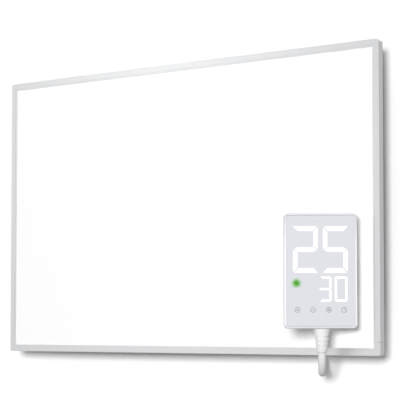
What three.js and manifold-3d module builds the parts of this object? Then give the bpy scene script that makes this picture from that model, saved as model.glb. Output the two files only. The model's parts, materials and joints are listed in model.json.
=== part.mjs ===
// An infrared panel heater that hangs on a wall rail, with its wired touch controller.
// Millimetres, +Z up. The wall is the plane y = 0, the front faces -Y, and the origin is the
// middle of the wall rail's flat back. The panel lifts off its rail along +Z, and the
// controller swivels about a vertical pin in front of the heated plate.
import * as THREE from 'three';
import { mergeVertices } from 'three/addons/utils/BufferGeometryUtils.js';
import Module from 'manifold-3d';

const wasm = await Module();
wasm.setup();

// ---------------------------------------------------------------- driving dimensions

const clearance = 0.3; // between pieces that seat on each other
const bite = 0.5; // how far solids that are joined reach into each other
const past = 1; // how far a cutting tool runs beyond the piece
const sharp = 0.01; // radius of a corner that is left square

// Panel
const panelWidth = 600;
const panelHeight = 400;
const panelDepth = 12;
const wallGap = 36; // wall to the back of the frame
const railBelowTop = 80; // the rail's middle below the panel's top edge

// Frame: one aluminium channel, bent at four corners and closed by a butt joint
const frameWall = 1.4;
const frameFace = 9.7;
const frameInnerBand = 2.2; // sunk band along the inner edge of the face
const frameBandDrop = 0.4;
const frameBackFlange = 8;
const frameCorner = 6;
const seamAboveBottom = 17;
const seamWidth = 0.4;
const keyLength = 44;
const keyThickness = 2;

// Sheets held in the channel, front to back
const edgeRoom = 2.7; // sheet edge to the channel's web
const layerGap = 0.1;
const plateThickness = 1;
const matThickness = 0.6;
const busThickness = 0.3;
const foilThickness = 0.2;
const backThickness = 0.8;
const busWidth = 14;
const busInset = 16; // bus bar to the sheet's edge
const busTail = 9; // width of the tail that runs to the terminal box
const leadSpacing = 16;
const leadDiameter = 3.6;
const cutoutDiameter = 15;
const cutoutAside = 90; // thermal cut-out beside the terminal box
const cutoutRoom = 0.5; // round the cut-out in the insulation
const entrySide = 2; // opening for the leads, beyond them at each side
const entryEnd = 3; // and above and below them
const entryCorner = 3;
const earthFromWall = 12; // earth screw to the terminal box's inner wall
const earthDiameter = 4;
const earthHead = 8;
const earthReach = 3; // into the insulation
const earthRise = 3; // above the terminal box's floor
const earthHoleWidth = 5; // in the sheets
const earthHoleCorner = 2.4;

// Wall rail and hangers
const railWidth = 320;
const railHeight = 40;
const railSheet = 2;
const railStandoff = 16;
const railLip = 14; // the lip above the rail's shelf
const wallScrewSpacing = 240;
const wallScrewDiameter = 4.5;
const wallScrewLength = 30;
const wallScrewHead = 9;
const wallScrewRise = 2.6;
const wallScrewBevel = 1.2;
const wallScrewPoint = 4;
const hangerWidth = 50;
const hangerSpacing = 200;
const hangerSheet = 2;
const hangerLip = 12;
const hangerFoot = 34;
const lipRoom = 2; // rail lip to hanger lip
const rivetSpacing = 30;
const rivetDiameter = 4;
const rivetHead = 8;
const rivetBevel = 1;
const rivetShoulder = 1.2;
const rivetRise = 1.6;

// Spacers at the bottom corners
const spacerInset = 50;
const spacerAboveBottom = 30;
const spacerBase = 28;
const spacerTip = 20;
const spacerFlange = 3;
const spacerCone = 7; // flange and cone together
const padThickness = 3;
const padStem = 6;
const padStemLength = 5;
const padBevel = 0.6;

// Terminal box, its gland and its mains inlet
const boxWidth = 96;
const boxHeight = 66;
const boxDepth = 27;
const boxWall = 2;
const boxCorner = 5;
const boxFromRight = 310; // box middle to the panel's right edge
const boxAboveBottom = 143;
const lidThickness = 2.2;
const lidScrewInset = 8;
const lidScrewDiameter = 3;
const lidScrewHead = 6;
const lidScrewBevel = 0.6;
const lidScrewShoulder = 1.4;
const lidScrewRise = 1.8;
const lidScrewReach = 11; // below the box's rim
const lidScrewHole = 12;
const boxPost = 8;
const blockWidth = 44; // terminal block
const blockHeight = 16;
const blockDepth = 10;
const blockFoot = 4; // feet hold it off the box's floor
const blockFootWidth = 6;
const terminalWidth = 6;
const terminalHeight = 10;
const terminalRise = 3;
const terminalPitch = 8.6;
const portDepth = 14; // middle of the gland and inlet above the box floor's seat
const glandThread = 16;
const glandHex = 21;
const glandShoulder = 5;
const glandCap = 15;
const glandNut = 4;
const glandThreadPast = 2; // thread beyond the locknut
const glandCapThread = 15;
const glandCapRoom = 4; // end of the thread to the cap's mouth
const capDome = 5; // the cap's end, narrowed in two steps
const capDomeStep = 1;
const capTip = 2;
const capTipStep = 4;
const cordDiameter = 10;
const inletWidth = 27;
const inletHeight = 19.2;
const inletFlange = 3; // flange rim beyond the body
const inletFlangeThickness = 2.5;
const inletDepth = 17;
const inletWall = 1.5;
const pinWidth = 4;
const pinThickness = 2;
const pinSpacing = 7; // live and neutral to the inlet's middle
const pinOffset = 1; // they lie this far behind it, and the earth pin as far before it
const pinRecess = 5.2; // pin tips behind the inlet's face
const pinTab = 8;

// Controller
const controllerWidth = 91.5;
const controllerHeight = 144;
const controllerDepth = 18;
const controllerCorner = 5;
const controllerTurn = 32; // degrees that its face turns towards the panel's right edge
const controllerAboveBottom = 34.4; // its lower edge above the panel's
const pivotFromRight = 75;
const pivotToPlate = 22.5;
const pivotToController = 9;
const shellWall = 1.8;
const shellBack = 2;
const backShellDepth = 11;
const faceSideRim = 2.75; // shell rim beside the face
const faceEndRim = 3; // and above and below it
const faceThickness = 1.1;
const faceCorner = 3;
const faceSeat = 1.3; // wall of the front shell behind the face
const displayWidth = 73;
const bigDigitsHeight = 61;
const smallDigitsWidth = 38;
const smallDigitsHeight = 36;
const displayTop = 58; // above the controller's middle
const ledDiameter = 4.6;
const ledBevel = 0.4;
const ledDome = 0.3;
const ledFromLeft = 6.2; // from the display's left edge
const ledBelowDigits = 12.6;
const touchStripWidth = 70;
const touchStripHeight = 13;
const touchStripThickness = 0.5;
const touchBelowDigits = 3.5;
const boardThickness = 1.6;
const boardMargin = 2;
const boardCorner = 2;
const standoffDiameter = 6;
const standoffFromSide = 8;
const standoffFromEnd = 9;
const displayThickness = 3.2;
const moduleAside = 8; // relay and power module, clear of the cradle's screws
const moduleMiddle = 23; // above the controller's middle
const moduleRoom = 0.8; // behind them
const relayWidth = 20;
const relayHeight = 30;
const powerModuleWidth = 26;
const powerModuleHeight = 34;
const sensorDiameter = 3.4;
const sensorRoom = 3;
const sensorFromSide = 15.75;
const sensorAboveBottom = 16;

// Magnetic swivel holder
const footDiameter = 44;
const footThickness = 5;
const footBevel = 1;
const magnetDiameter = 30;
const magnetThickness = 3;
const lugThickness = 5;
const lugSpread = 8; // half the lugs' width at the foot
const knuckleRadius = 5;
const knuckleHeight = 17.4;
const pinDiameter = 4;
const pinTip = 0.5; // below the lower lug
const pinHead = 7;
const pinHeadHeight = 1.6;
const cradleWidth = 32;
const cradleHeight = 52;
const cradleThickness = 3.2;
const cradleCorner = 6;
const cradleWeb = 8;
const cradleWebEnd = 2; // the web ends inside the knuckle, this far from the pivot
const cradleScrewSpacing = 40;
const cradleScrewDiameter = 3;
const cradleScrewHead = 5.6;
const cradleScrewBevel = 0.5;
const cradleScrewShoulder = 1.2;
const cradleScrewRise = 1.5;
const cradleScrewReach = 3; // past the back shell's wall

// Strain relief: a soft taper that gives way towards the wall
const bootLength = 28.2;
const bootTop = 21;
const bootEnd = 13.6;
const bootAside = 2; // right of the controller's middle
const bootCollar = 2; // straight stretch under the shell
const bootBend = 20; // degrees over the rest
const bendHeading = 26.6; // degrees of the cord's loop from the panel's normal
const bootNeck = 9.4;
const bootFlange = 11.8;
const bootFlangeThickness = 2;

// Cord: its lead loops under the panel to a coil in the gap behind it
const coilRadius = 63; // outermost turn
const coilPitch = 10.6;
const coilTurns = 4.25;
const coilSteps = 24; // rings in a turn
const coilSides = 6;
const coilEase = 0.08; // turns over which the spiral's reversal is rounded
const leadSteps = 18;
const tailSteps = 9;
const cordSides = 10;
const coilCentre = new THREE.Vector3(136.3, -9.5, -240); // in the layer next to the wall
const leadRoute = [
  [234.2, -79.0, -313.9], [233.7, -78.0, -316.7], [232.1, -74.8, -324.1], [229.4, -69.4, -331.6],
  [225.9, -62.5, -337.4], [222.0, -54.6, -341.1], [217.7, -46.1, -342.6], [213.4, -37.5, -341.8],
  [209.3, -29.4, -338.7], [205.7, -22.2, -333.4], [202.8, -16.3, -326.4], [200.7, -12.1, -318.0],
  [199.7, -10.1, -310.0], [199.4, -9.6, -303.0], [199.3, -9.5, -292], [199.3, -9.5, -278],
  [199.3, -9.5, -264], [199.3, -9.5, -250.3],
];
const tailRoute = [
  [126.0, -20.1, -177], [118, -20.2, -177.2], [108, -20.7, -178], [97, -21.7, -178.6],
  [86, -22.7, -178.4], [76, -23.1, -177.4], [68, -23.2, -177], [60, -23.2, -177],
  [50, -23.2, -177], [38, -23.2, -177], [25, -23.2, -177],
];

// Cable hook and tie
const hookWidth = 10;
const hookSheet = 3;
const hookTip = 8;
const hookLip = 2.2;
const hookFoot = 20;
const hookRoom = 0.4; // between its lip and the coil
const tieWidth = 8;
const tieBand = 1.3;
const tieCorner = 3;

// ---------------------------------------------------------------- places worked out

const up = Math.PI / 2;
const panelMiddle = railBelowTop - panelHeight / 2; // height of the panel's middle
const panelRight = panelWidth / 2;
const panelBottom = -panelHeight / 2;

const layers = {};
const insulationThickness = panelDepth - 2 * frameWall - 7 * layerGap
  - plateThickness - matThickness - busThickness - foilThickness - backThickness;
let face = -panelDepth + frameWall;
for (const [layer, thickness] of Object.entries({
  plate: plateThickness,
  mat: matThickness,
  bus: busThickness,
  foil: foilThickness,
  insulation: insulationThickness,
  back: backThickness,
})) {
  layers[layer] = { front: face + layerGap, back: face + layerGap + thickness };
  face += layerGap + thickness;
}
const backSeat = layers.back.back + clearance; // what is mounted on the back starts here

const boxX = panelRight - boxFromRight;
const boxZ = panelBottom + boxAboveBottom;
const boxRear = backSeat + boxDepth;
const portY = backSeat + portDepth;
const earthX = boxX + boxWidth / 2 - boxWall - earthFromWall;
const earthZ = boxZ - boxHeight / 4;

const pivot = new THREE.Vector3(
  panelRight - pivotFromRight,
  layers.plate.front - pivotToPlate,
  panelBottom + controllerAboveBottom + controllerHeight / 2,
);

// Depths in the controller, from its pivot towards its face
const shellRear = -pivotToController;
const shellFront = shellRear - controllerDepth;
const shellSplit = shellRear - backShellDepth;
const faceBack = shellFront + faceThickness + clearance;
const shellFloor = faceBack + faceSeat; // inside of the front shell
const boardFront = shellFloor + displayThickness + 2 * clearance;
const boardBack = boardFront + boardThickness;
const bootY = shellRear - controllerDepth / 2;

// Sizes and places on its face, from its middle
const faceWidth = controllerWidth - 2 * faceSideRim;
const faceHeight = controllerHeight - 2 * faceEndRim;
const bigDigitsBottom = displayTop - bigDigitsHeight;
const smallDigitsBottom = bigDigitsBottom - smallDigitsHeight;
const ledX = ledFromLeft - displayWidth / 2;
const ledZ = bigDigitsBottom - ledBelowDigits;
const touchStripZ = smallDigitsBottom - touchBelowDigits - touchStripHeight / 2;

// ---------------------------------------------------------------- geometry helpers

const finish = (color, roughness, metalness = 0) =>
  new THREE.MeshStandardMaterial({ color, roughness, metalness });

function piece(parent, name, geometry, material) {
  const mesh = new THREE.Mesh(geometry, material);
  mesh.name = name;
  parent.add(mesh);
}

function group(parent, x = 0, y = 0, z = 0) {
  const inner = new THREE.Group();
  inner.position.set(x, y, z);
  parent.add(inner);
  return inner;
}

// A closed geometry as a solid that can be joined and cut
function solid(geometry) {
  const bare = geometry.index ? geometry.toNonIndexed() : geometry.clone();
  for (const attribute of Object.keys(bare.attributes)) {
    if (attribute !== 'position') bare.deleteAttribute(attribute);
  }
  const merged = mergeVertices(bare);
  const corners = [];
  for (let i = 0; i < merged.index.count; i += 3) {
    const [a, b, c] = [0, 1, 2].map((k) => merged.index.getX(i + k));
    if (a !== b && b !== c && c !== a) corners.push(a, b, c);
  }
  return new wasm.Manifold(new wasm.Mesh({
    numProp: 3,
    vertProperties: new Float32Array(merged.attributes.position.array),
    triVerts: new Uint32Array(corners),
  }));
}

function geometryOf(body) {
  const { vertProperties, triVerts } = body.getMesh();
  const geometry = new THREE.BufferGeometry();
  geometry.setAttribute('position', new THREE.BufferAttribute(vertProperties, 3));
  geometry.setIndex(new THREE.BufferAttribute(triVerts, 1));
  return geometry;
}

const join = (first, ...others) =>
  geometryOf(others.reduce((body, other) => body.add(solid(other)), solid(first)));
const cut = (stock, ...tools) =>
  geometryOf(tools.reduce((body, tool) => body.subtract(solid(tool)), solid(stock)));

function block(x0, x1, y0, y1, z0, z1) {
  return new THREE.BoxGeometry(x1 - x0, y1 - y0, z1 - z0)
    .translate((x0 + x1) / 2, (y0 + y1) / 2, (z0 + z1) / 2);
}

function rounded(width, height, radius, x = 0, z = 0) {
  const [w, h] = [width / 2, height / 2];
  const shape = new THREE.Shape();
  shape.moveTo(x + w, z - h + radius);
  shape.absarc(x + w - radius, z + h - radius, radius, 0, up);
  shape.absarc(x - w + radius, z + h - radius, radius, up, 2 * up);
  shape.absarc(x - w + radius, z - h + radius, radius, 2 * up, 3 * up);
  shape.absarc(x + w - radius, z - h + radius, radius, 3 * up, 4 * up);
  return shape;
}

function polygon(points) {
  return new THREE.Shape(points.map(([a, b]) => new THREE.Vector2(a, b)));
}

// A shape drawn in X and Z, standing from one depth to another
function slab(shape, front, back, curveSegments = 4) {
  return new THREE.ExtrudeGeometry(shape, { depth: back - front, bevelEnabled: false, curveSegments })
    .rotateX(up).translate(0, back, 0);
}

// A profile drawn in Y and Z, as wide as width along X
function strip(profile, width, x = 0) {
  return new THREE.ExtrudeGeometry(profile, { depth: width, bevelEnabled: false, curveSegments: 4 })
    .rotateY(up).rotateX(up).translate(x - width / 2, 0, 0);
}

function holed(shape, ...holes) {
  shape.holes.push(...holes);
  return shape;
}

// A turned piece on an axis along Y, from [radius, y] pairs with y rising
function turned(profile, x = 0, z = 0, segments = 16) {
  return new THREE.LatheGeometry(profile.map(([r, y]) => new THREE.Vector2(r, y)), segments)
    .translate(x, 0, z);
}

const rod = (diameter, y0, y1, x = 0, z = 0, segments = 16) =>
  turned([[0, y0], [diameter / 2, y0], [diameter / 2, y1], [0, y1]], x, z, segments);

// A screw or rivet with a low domed head, from its tip along +Y
function fastener(shank, tip, seat, head, [bevel, shoulder, rise], x, z) {
  return turned([
    [0, tip], [shank / 2, tip], [shank / 2, seat], [head / 2, seat],
    [head / 2 - bevel, seat + shoulder], [0, seat + rise],
  ], x, z, 12);
}

// A rod along Z, and one along X
const post = (diameter, z0, z1, x = 0, y = 0, segments = 16) =>
  new THREE.CylinderGeometry(diameter / 2, diameter / 2, z1 - z0, segments)
    .rotateX(up).translate(x, y, (z0 + z1) / 2);
const barrel = (diameter, x0, x1, y = 0, z = 0, segments = 16) =>
  new THREE.CylinderGeometry(diameter / 2, diameter / 2, x1 - x0, segments)
    .rotateZ(up).translate((x0 + x1) / 2, y, z);

// A closed tube of rings round the given centres, each ring with its own radius
function sweep(centres, radii, sides) {
  const positions = [];
  const index = [];
  const side = new THREE.Vector3();
  const anyWay = new THREE.Vector3(0.31, 0.87, 0.39); // not along any stretch that starts a tube
  const last = centres.length - 1;
  centres.forEach((centre, i) => {
    const along = centres[Math.min(i + 1, last)].clone().sub(centres[Math.max(i - 1, 0)]).normalize();
    if (i === 0) side.crossVectors(along, anyWay);
    side.addScaledVector(along, -side.dot(along)).normalize();
    const over = new THREE.Vector3().crossVectors(along, side);
    for (let k = 0; k < sides; k += 1) {
      const angle = (2 * Math.PI * k) / sides;
      positions.push(...centre.clone()
        .addScaledVector(side, radii[i] * Math.cos(angle))
        .addScaledVector(over, radii[i] * Math.sin(angle)));
      const [a, b] = [i * sides + k, i * sides + ((k + 1) % sides)];
      if (i < last) index.push(a, b, b + sides, a, b + sides, a + sides);
    }
  });
  const end = last * sides;
  for (let k = 1; k < sides - 1; k += 1) index.push(0, k + 1, k, end, end + k, end + k + 1);
  const geometry = new THREE.BufferGeometry();
  geometry.setAttribute('position', new THREE.Float32BufferAttribute(positions, 3));
  geometry.setIndex(index);
  return geometry;
}

// A tube through hand-placed points
function tube(route, diameter, steps, sides) {
  const points = route.map((point) => new THREE.Vector3(...point));
  const path = new THREE.CatmullRomCurve3(points, false, 'centripetal');
  const section = new THREE.Shape();
  for (let k = 0; k < sides; k += 1) {
    const angle = (2 * Math.PI * k) / sides;
    const [x, y] = [(diameter / 2) * Math.cos(angle), (diameter / 2) * Math.sin(angle)];
    if (k === 0) section.moveTo(x, y);
    else section.lineTo(x, y);
  }
  return new THREE.ExtrudeGeometry(section, { steps, bevelEnabled: false, extrudePath: path });
}

// ---------------------------------------------------------------- finishes

const anodised = finish(0xd4d6d8, 0.35, 0.9);
const whitePaint = finish(0xf6f6f7, 0.45);
const zincSteel = finish(0xb4b8ba, 0.45, 0.8);
const screwSteel = finish(0xc6c8ca, 0.3, 0.9);
const whitePlastic = finish(0xf1f1f2, 0.5);
const greyGlass = finish(0xdfe0e6, 0.15);
const softWhite = finish(0xececee, 0.6);
const rubber = finish(0x3a3b3d, 0.85);
const blackPlastic = finish(0x1d1e20, 0.5);
const greyPlastic = finish(0xa9acb0, 0.55);
const copper = finish(0xb87a50, 0.35, 0.9);
const brass = finish(0xc9a75a, 0.3, 0.9);
const carbonFilm = finish(0x2a2b2e, 0.6);
const brightFoil = finish(0xd9dadb, 0.25, 0.9);
const woolBoard = finish(0xd8cfa8, 0.9);
const boardGreen = finish(0x2f6b46, 0.5);
const litWhite = finish(0xffffff, 0.4);
const litGreen = finish(0x3fae2a, 0.3);

// ---------------------------------------------------------------- wall rail

function addWallRail(parent) {
  const half = railHeight / 2;
  const [shelf, lipTop] = [half - railSheet, half + railLip];
  const profile = polygon([
    [0, -half], [0, half], [railSheet - railStandoff, half], [railSheet - railStandoff, lipTop],
    [-railStandoff, lipTop], [-railStandoff, shelf], [-railSheet, shelf], [-railSheet, -half],
  ]);
  const holes = [-1, 1].map((side) => rod(
    wallScrewDiameter + 2 * clearance, -railSheet - past, past, (side * wallScrewSpacing) / 2,
  ));
  piece(parent, 'wall_rail', cut(strip(profile, railWidth), ...holes), zincSteel);
  const seat = -railSheet - clearance;
  for (const [side, name] of [[-1, 'left'], [1, 'right']]) {
    piece(parent, `wall_screw_${name}`, turned([
      [0, seat - wallScrewRise], [wallScrewHead / 2 - wallScrewBevel, seat - wallScrewRise],
      [wallScrewHead / 2, seat - wallScrewBevel], [wallScrewHead / 2, seat], [wallScrewDiameter / 2, seat],
      [wallScrewDiameter / 2, wallScrewLength - wallScrewPoint], [0, wallScrewLength],
    ], (side * wallScrewSpacing) / 2), screwSteel);
  }
}

// ---------------------------------------------------------------- frame and sheets

const frameHole = (margin, radius = sharp) =>
  rounded(panelWidth - 2 * margin, panelHeight - 2 * margin, radius);

function addFrame(parent) {
  const outline = () => rounded(panelWidth, panelHeight, frameCorner);
  const ring = (margin, near, far, radius) => slab(holed(outline(), frameHole(margin, radius)), near, far);
  const front = -panelDepth;
  const channel = join(
    ring(frameWall, front, 0, frameCorner - frameWall),
    ring(frameFace - frameInnerBand, front, front + frameWall),
    ring(frameFace, front + frameBandDrop, front + frameWall),
    ring(frameBackFlange, -frameWall, 0),
  );
  const seam = panelBottom + seamAboveBottom;
  const gap = block(
    panelRight - frameFace - past, panelRight + past, front - past, past,
    seam - seamWidth / 2, seam + seamWidth / 2,
  );
  piece(parent, 'frame_profile', cut(channel, gap), anodised);
  const web = panelRight - frameWall - clearance;
  piece(parent, 'frame_splice_key', block(
    web - keyThickness, web, front + frameWall + clearance, -frameWall - clearance,
    seam - seamAboveBottom / 3, seam - seamAboveBottom / 3 + keyLength,
  ), zincSteel);
}

const sheetWidth = panelWidth - 2 * (frameWall + edgeRoom);
const sheetHeight = panelHeight - 2 * (frameWall + edgeRoom);
const sheetCorner = Math.max(frameCorner - frameWall - edgeRoom, 0.5);
const leadPlaces = [boxX - leadSpacing / 2, boxX + leadSpacing / 2];
const leadEntry = () => rounded(
  leadSpacing + leadDiameter + 2 * entrySide, leadDiameter + 2 * entryEnd, entryCorner, boxX, boxZ,
);

function addSheets(parent) {
  const sheet = (layer, ...holes) =>
    slab(holed(rounded(sheetWidth, sheetHeight, sheetCorner), ...holes), layer.front, layer.back);
  const earthHole = () => rounded(earthHoleWidth, earthHoleWidth, earthHoleCorner, earthX, earthZ);
  const cutoutX = boxX - cutoutAside;
  const pocketWidth = cutoutDiameter + 2 * cutoutRoom;
  const pocket = rounded(pocketWidth, pocketWidth, cutoutDiameter / 2, cutoutX, boxZ);
  piece(parent, 'front_plate', sheet(layers.plate), whitePaint);
  piece(parent, 'heating_mat', sheet(layers.mat), carbonFilm);
  piece(parent, 'reflective_foil', sheet(layers.foil, leadEntry()), brightFoil);
  const insulation = sheet(layers.insulation, leadEntry(), pocket, earthHole());
  piece(parent, 'insulation_board', insulation, woolBoard);
  piece(parent, 'back_plate', sheet(layers.back, leadEntry(), earthHole()), zincSteel);
  piece(parent, 'thermal_cutout', rod(
    cutoutDiameter, layers.insulation.front, layers.insulation.back, cutoutX, boxZ,
  ), blackPlastic);

  const reach = sheetWidth / 2 - busInset;
  [['top', 1, leadPlaces[0]], ['bottom', -1, leadPlaces[1]]].forEach(([name, way, tail]) => {
    const bar = way * (sheetHeight / 2 - busInset);
    const inner = bar - way * busWidth;
    const tip = boxZ - (way * busTail) / 2;
    const outline = [
      [-reach, bar], [reach, bar], [reach, inner], [tail + busTail / 2, inner],
      [tail + busTail / 2, tip], [tail - busTail / 2, tip], [tail - busTail / 2, inner], [-reach, inner],
    ];
    piece(parent, `bus_bar_${name}`, slab(polygon(outline), layers.bus.front, layers.bus.back), copper);
  });
  const [tip, boxFloor] = [layers.insulation.back - earthReach, backSeat + boxWall];
  piece(parent, 'earth_screw', turned([
    [0, tip], [earthDiameter / 2, tip], [earthDiameter / 2, boxFloor + clearance],
    [earthHead / 2, boxFloor + clearance], [earthHead / 2, boxFloor + earthRise], [0, boxFloor + earthRise],
  ], earthX, earthZ), brass);
}

// ---------------------------------------------------------------- hangers and spacers

function addHangers(parent) {
  const lipTop = railHeight / 2 + railLip + clearance - panelMiddle; // the hanger rests here
  const lipFront = railSheet - railStandoff + lipRoom + wallGap;
  const base = backSeat;
  const profile = () => polygon([
    [base, lipTop + hangerSheet - hangerFoot], [base, lipTop + hangerSheet],
    [lipFront + hangerSheet, lipTop + hangerSheet], [lipFront + hangerSheet, lipTop - hangerLip],
    [lipFront, lipTop - hangerLip], [lipFront, lipTop], [base + hangerSheet, lipTop],
    [base + hangerSheet, lipTop + hangerSheet - hangerFoot],
  ]);
  for (const [side, name] of [[-1, 'left'], [1, 'right']]) {
    const x = (side * hangerSpacing) / 2;
    const rivetZ = lipTop - hangerFoot / 2;
    const places = [x - rivetSpacing / 2, x + rivetSpacing / 2];
    const holes = places.map((place) => rod(
      rivetDiameter + 2 * clearance, base - past, base + hangerSheet + past, place, rivetZ, 12,
    ));
    piece(parent, `hanger_bracket_${name}`, cut(strip(profile(), hangerWidth, x), ...holes), zincSteel);
    places.forEach((place, i) => {
      piece(parent, `hanger_rivet_${name}_${i + 1}`, fastener(
        rivetDiameter, base, base + hangerSheet + clearance, rivetHead,
        [rivetBevel, rivetShoulder, rivetRise], place, rivetZ,
      ), screwSteel);
    });
  }
}

function addSpacers(parent) {
  const tip = wallGap - padThickness - clearance;
  const stemEnd = tip - padStemLength;
  const bore = padStem / 2 + clearance;
  for (const [side, name] of [[-1, 'left'], [1, 'right']]) {
    const [x, z] = [side * (panelRight - spacerInset), panelBottom + spacerAboveBottom];
    piece(parent, `wall_spacer_${name}`, turned([
      [0, backSeat], [spacerBase / 2, backSeat], [spacerBase / 2, backSeat + spacerFlange],
      [spacerTip / 2, backSeat + spacerCone], [spacerTip / 2, tip], [bore, tip],
      [bore, stemEnd - clearance], [0, stemEnd - clearance],
    ], x, z), whitePlastic);
    piece(parent, `spacer_pad_${name}`, turned([
      [0, stemEnd], [padStem / 2, stemEnd], [padStem / 2, tip + clearance],
      [spacerTip / 2, tip + clearance], [spacerTip / 2, wallGap - padBevel],
      [spacerTip / 2 - padBevel, wallGap], [0, wallGap],
    ], x, z), rubber);
  }
}

// ---------------------------------------------------------------- terminal box

function addTerminalBox(parent) {
  const [right, bottom] = [boxX + boxWidth / 2, boxZ - boxHeight / 2];
  const [floor, rear] = [backSeat, boxRear];
  const inside = rounded(
    boxWidth - 2 * boxWall, boxHeight - 2 * boxWall, boxCorner - boxWall, boxX, boxZ,
  );
  const corners = [[1, 1], [-1, -1]].map(([a, b]) => [
    boxX + a * (boxWidth / 2 - lidScrewInset), boxZ + b * (boxHeight / 2 - lidScrewInset),
  ]);
  const body = cut(
    slab(rounded(boxWidth, boxHeight, boxCorner, boxX, boxZ), floor, rear),
    slab(inside, floor + boxWall, rear + past),
  );
  const posts = corners.map(([x, z]) => rod(boxPost, floor + boxWall - bite, rear - clearance, x, z, 12));
  piece(parent, 'terminal_box_base', cut(
    join(body, ...posts),
    ...corners.map(([x, z]) =>
      rod(lidScrewDiameter + 2 * clearance, rear - lidScrewHole, rear + past, x, z, 12)),
    slab(leadEntry(), floor - past, floor + boxWall + past),
    rod(earthDiameter + 2 * clearance, floor - past, floor + boxWall + past, earthX, earthZ),
    barrel(glandThread + 2 * clearance, right - boxWall - past, right + past, portY, boxZ, 24),
    block(
      boxX - inletWidth / 2 - clearance, boxX + inletWidth / 2 + clearance,
      portY - inletHeight / 2 - clearance, portY + inletHeight / 2 + clearance,
      bottom - past, bottom + boxWall + past,
    ),
  ), whitePlastic);

  const lidFront = rear + clearance;
  piece(parent, 'terminal_box_lid', cut(
    slab(rounded(boxWidth, boxHeight, boxCorner, boxX, boxZ), lidFront, lidFront + lidThickness),
    ...corners.map(([x, z]) =>
      rod(lidScrewDiameter + 2 * clearance, lidFront - past, lidFront + lidThickness + past, x, z, 12)),
  ), whitePlastic);
  corners.forEach(([x, z], i) => {
    piece(parent, `lid_screw_${['upper', 'lower'][i]}`, fastener(
      lidScrewDiameter, rear - lidScrewReach, lidFront + lidThickness + clearance, lidScrewHead,
      [lidScrewBevel, lidScrewShoulder, lidScrewRise], x, z,
    ), screwSteel);
  });

  const footFront = floor + boxWall + clearance;
  const [blockFront, blockBack] = [footFront + blockFoot, footFront + blockFoot + blockDepth];
  const upright = (aside, width, height, front, back) => block(
    boxX + aside - width / 2, boxX + aside + width / 2, front, back, boxZ - height / 2, boxZ + height / 2,
  );
  const footAside = (blockWidth - blockFootWidth) / 2;
  piece(parent, 'terminal_block', join(
    upright(0, blockWidth, blockHeight, blockFront, blockBack),
    ...[-footAside, footAside].map((aside) =>
      upright(aside, blockFootWidth, blockHeight, footFront, blockFront + bite)),
    ...[-2, -1, 0, 1, 2].map((step) => upright(
      step * terminalPitch, terminalWidth, terminalHeight, blockBack - bite, blockBack + terminalRise,
    )),
  ), blackPlastic);
  ['live', 'neutral'].forEach((name, i) => {
    piece(parent, `heater_lead_${name}`, rod(
      leadDiameter, layers.bus.back + clearance, blockFront - clearance, leadPlaces[i], boxZ, 10,
    ), [copper, greyPlastic][i]);
  });

  addGland(parent, right);
  addInlet(parent, bottom);
}

function addGland(parent, wall) {
  const bore = cordDiameter + 2 * clearance;
  const seat = wall + clearance;
  const capStart = seat + glandShoulder;
  const capEnd = capStart + glandCap;
  const threadEnd = capEnd - glandCapRoom;
  const inner = wall - boxWall - clearance;
  const nutEnd = inner - glandNut;
  const threadStart = nutEnd - glandThreadPast;
  const hex = (x0, x1) => barrel(glandHex / Math.cos(Math.PI / 6), x0, x1, portY, boxZ, 6);
  const round = (diameter, x0, x1) => barrel(diameter, x0, x1, portY, boxZ, 20);
  piece(parent, 'gland_body', cut(
    join(
      hex(seat, capStart),
      round(glandThread, threadStart, seat + bite),
      round(glandCapThread, capStart - bite, threadEnd),
    ),
    round(bore, threadStart - past, threadEnd + past),
  ), greyPlastic);
  piece(parent, 'gland_cap', cut(
    join(
      hex(capStart + clearance, capEnd - capDome),
      round(glandHex - capDomeStep, capEnd - capDome - bite, capEnd - capTip),
      round(glandHex - capTipStep, capEnd - capTip - bite, capEnd),
    ),
    round(glandCapThread + 2 * clearance, capStart, threadEnd + clearance),
    round(bore, capStart, capEnd + past),
  ), greyPlastic);
  piece(parent, 'gland_locknut', cut(
    hex(nutEnd, inner),
    round(glandThread + 2 * clearance, nutEnd - past, inner + past),
  ), greyPlastic);
}

// A three-pin appliance inlet in the box's lower wall, open downwards
function addInlet(parent, wall) {
  const rim = wall - clearance - inletFlangeThickness;
  const box = (width, height, z0, z1) =>
    block(boxX - width / 2, boxX + width / 2, portY - height / 2, portY + height / 2, z0, z1);
  const floor = rim + inletDepth;
  const pins = [[-1, 1, 'live'], [1, 1, 'neutral'], [0, -1, 'earth']].map(([a, b, name]) => [
    boxX + a * pinSpacing, portY + b * pinOffset, name,
  ]);
  piece(parent, 'mains_inlet', cut(
    join(
      box(inletWidth + 2 * inletFlange, inletHeight + 2 * inletFlange, rim, wall - clearance),
      box(inletWidth, inletHeight, wall - clearance - bite, floor + inletWall),
    ),
    box(inletWidth - 2 * inletWall, inletHeight - 2 * inletWall, rim - past, floor),
    ...pins.map(([x, y]) => block(
      x - pinThickness / 2 - clearance / 2, x + pinThickness / 2 + clearance / 2,
      y - pinWidth / 2 - clearance / 2, y + pinWidth / 2 + clearance / 2,
      floor - past, floor + inletWall + past,
    )),
  ), blackPlastic);
  pins.forEach(([x, y, name]) => {
    piece(parent, `inlet_pin_${name}`, block(
      x - pinThickness / 2, x + pinThickness / 2, y - pinWidth / 2, y + pinWidth / 2,
      rim + pinRecess, floor + inletWall + pinTab,
    ), brass);
  });
}

// ---------------------------------------------------------------- controller and holder

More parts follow.
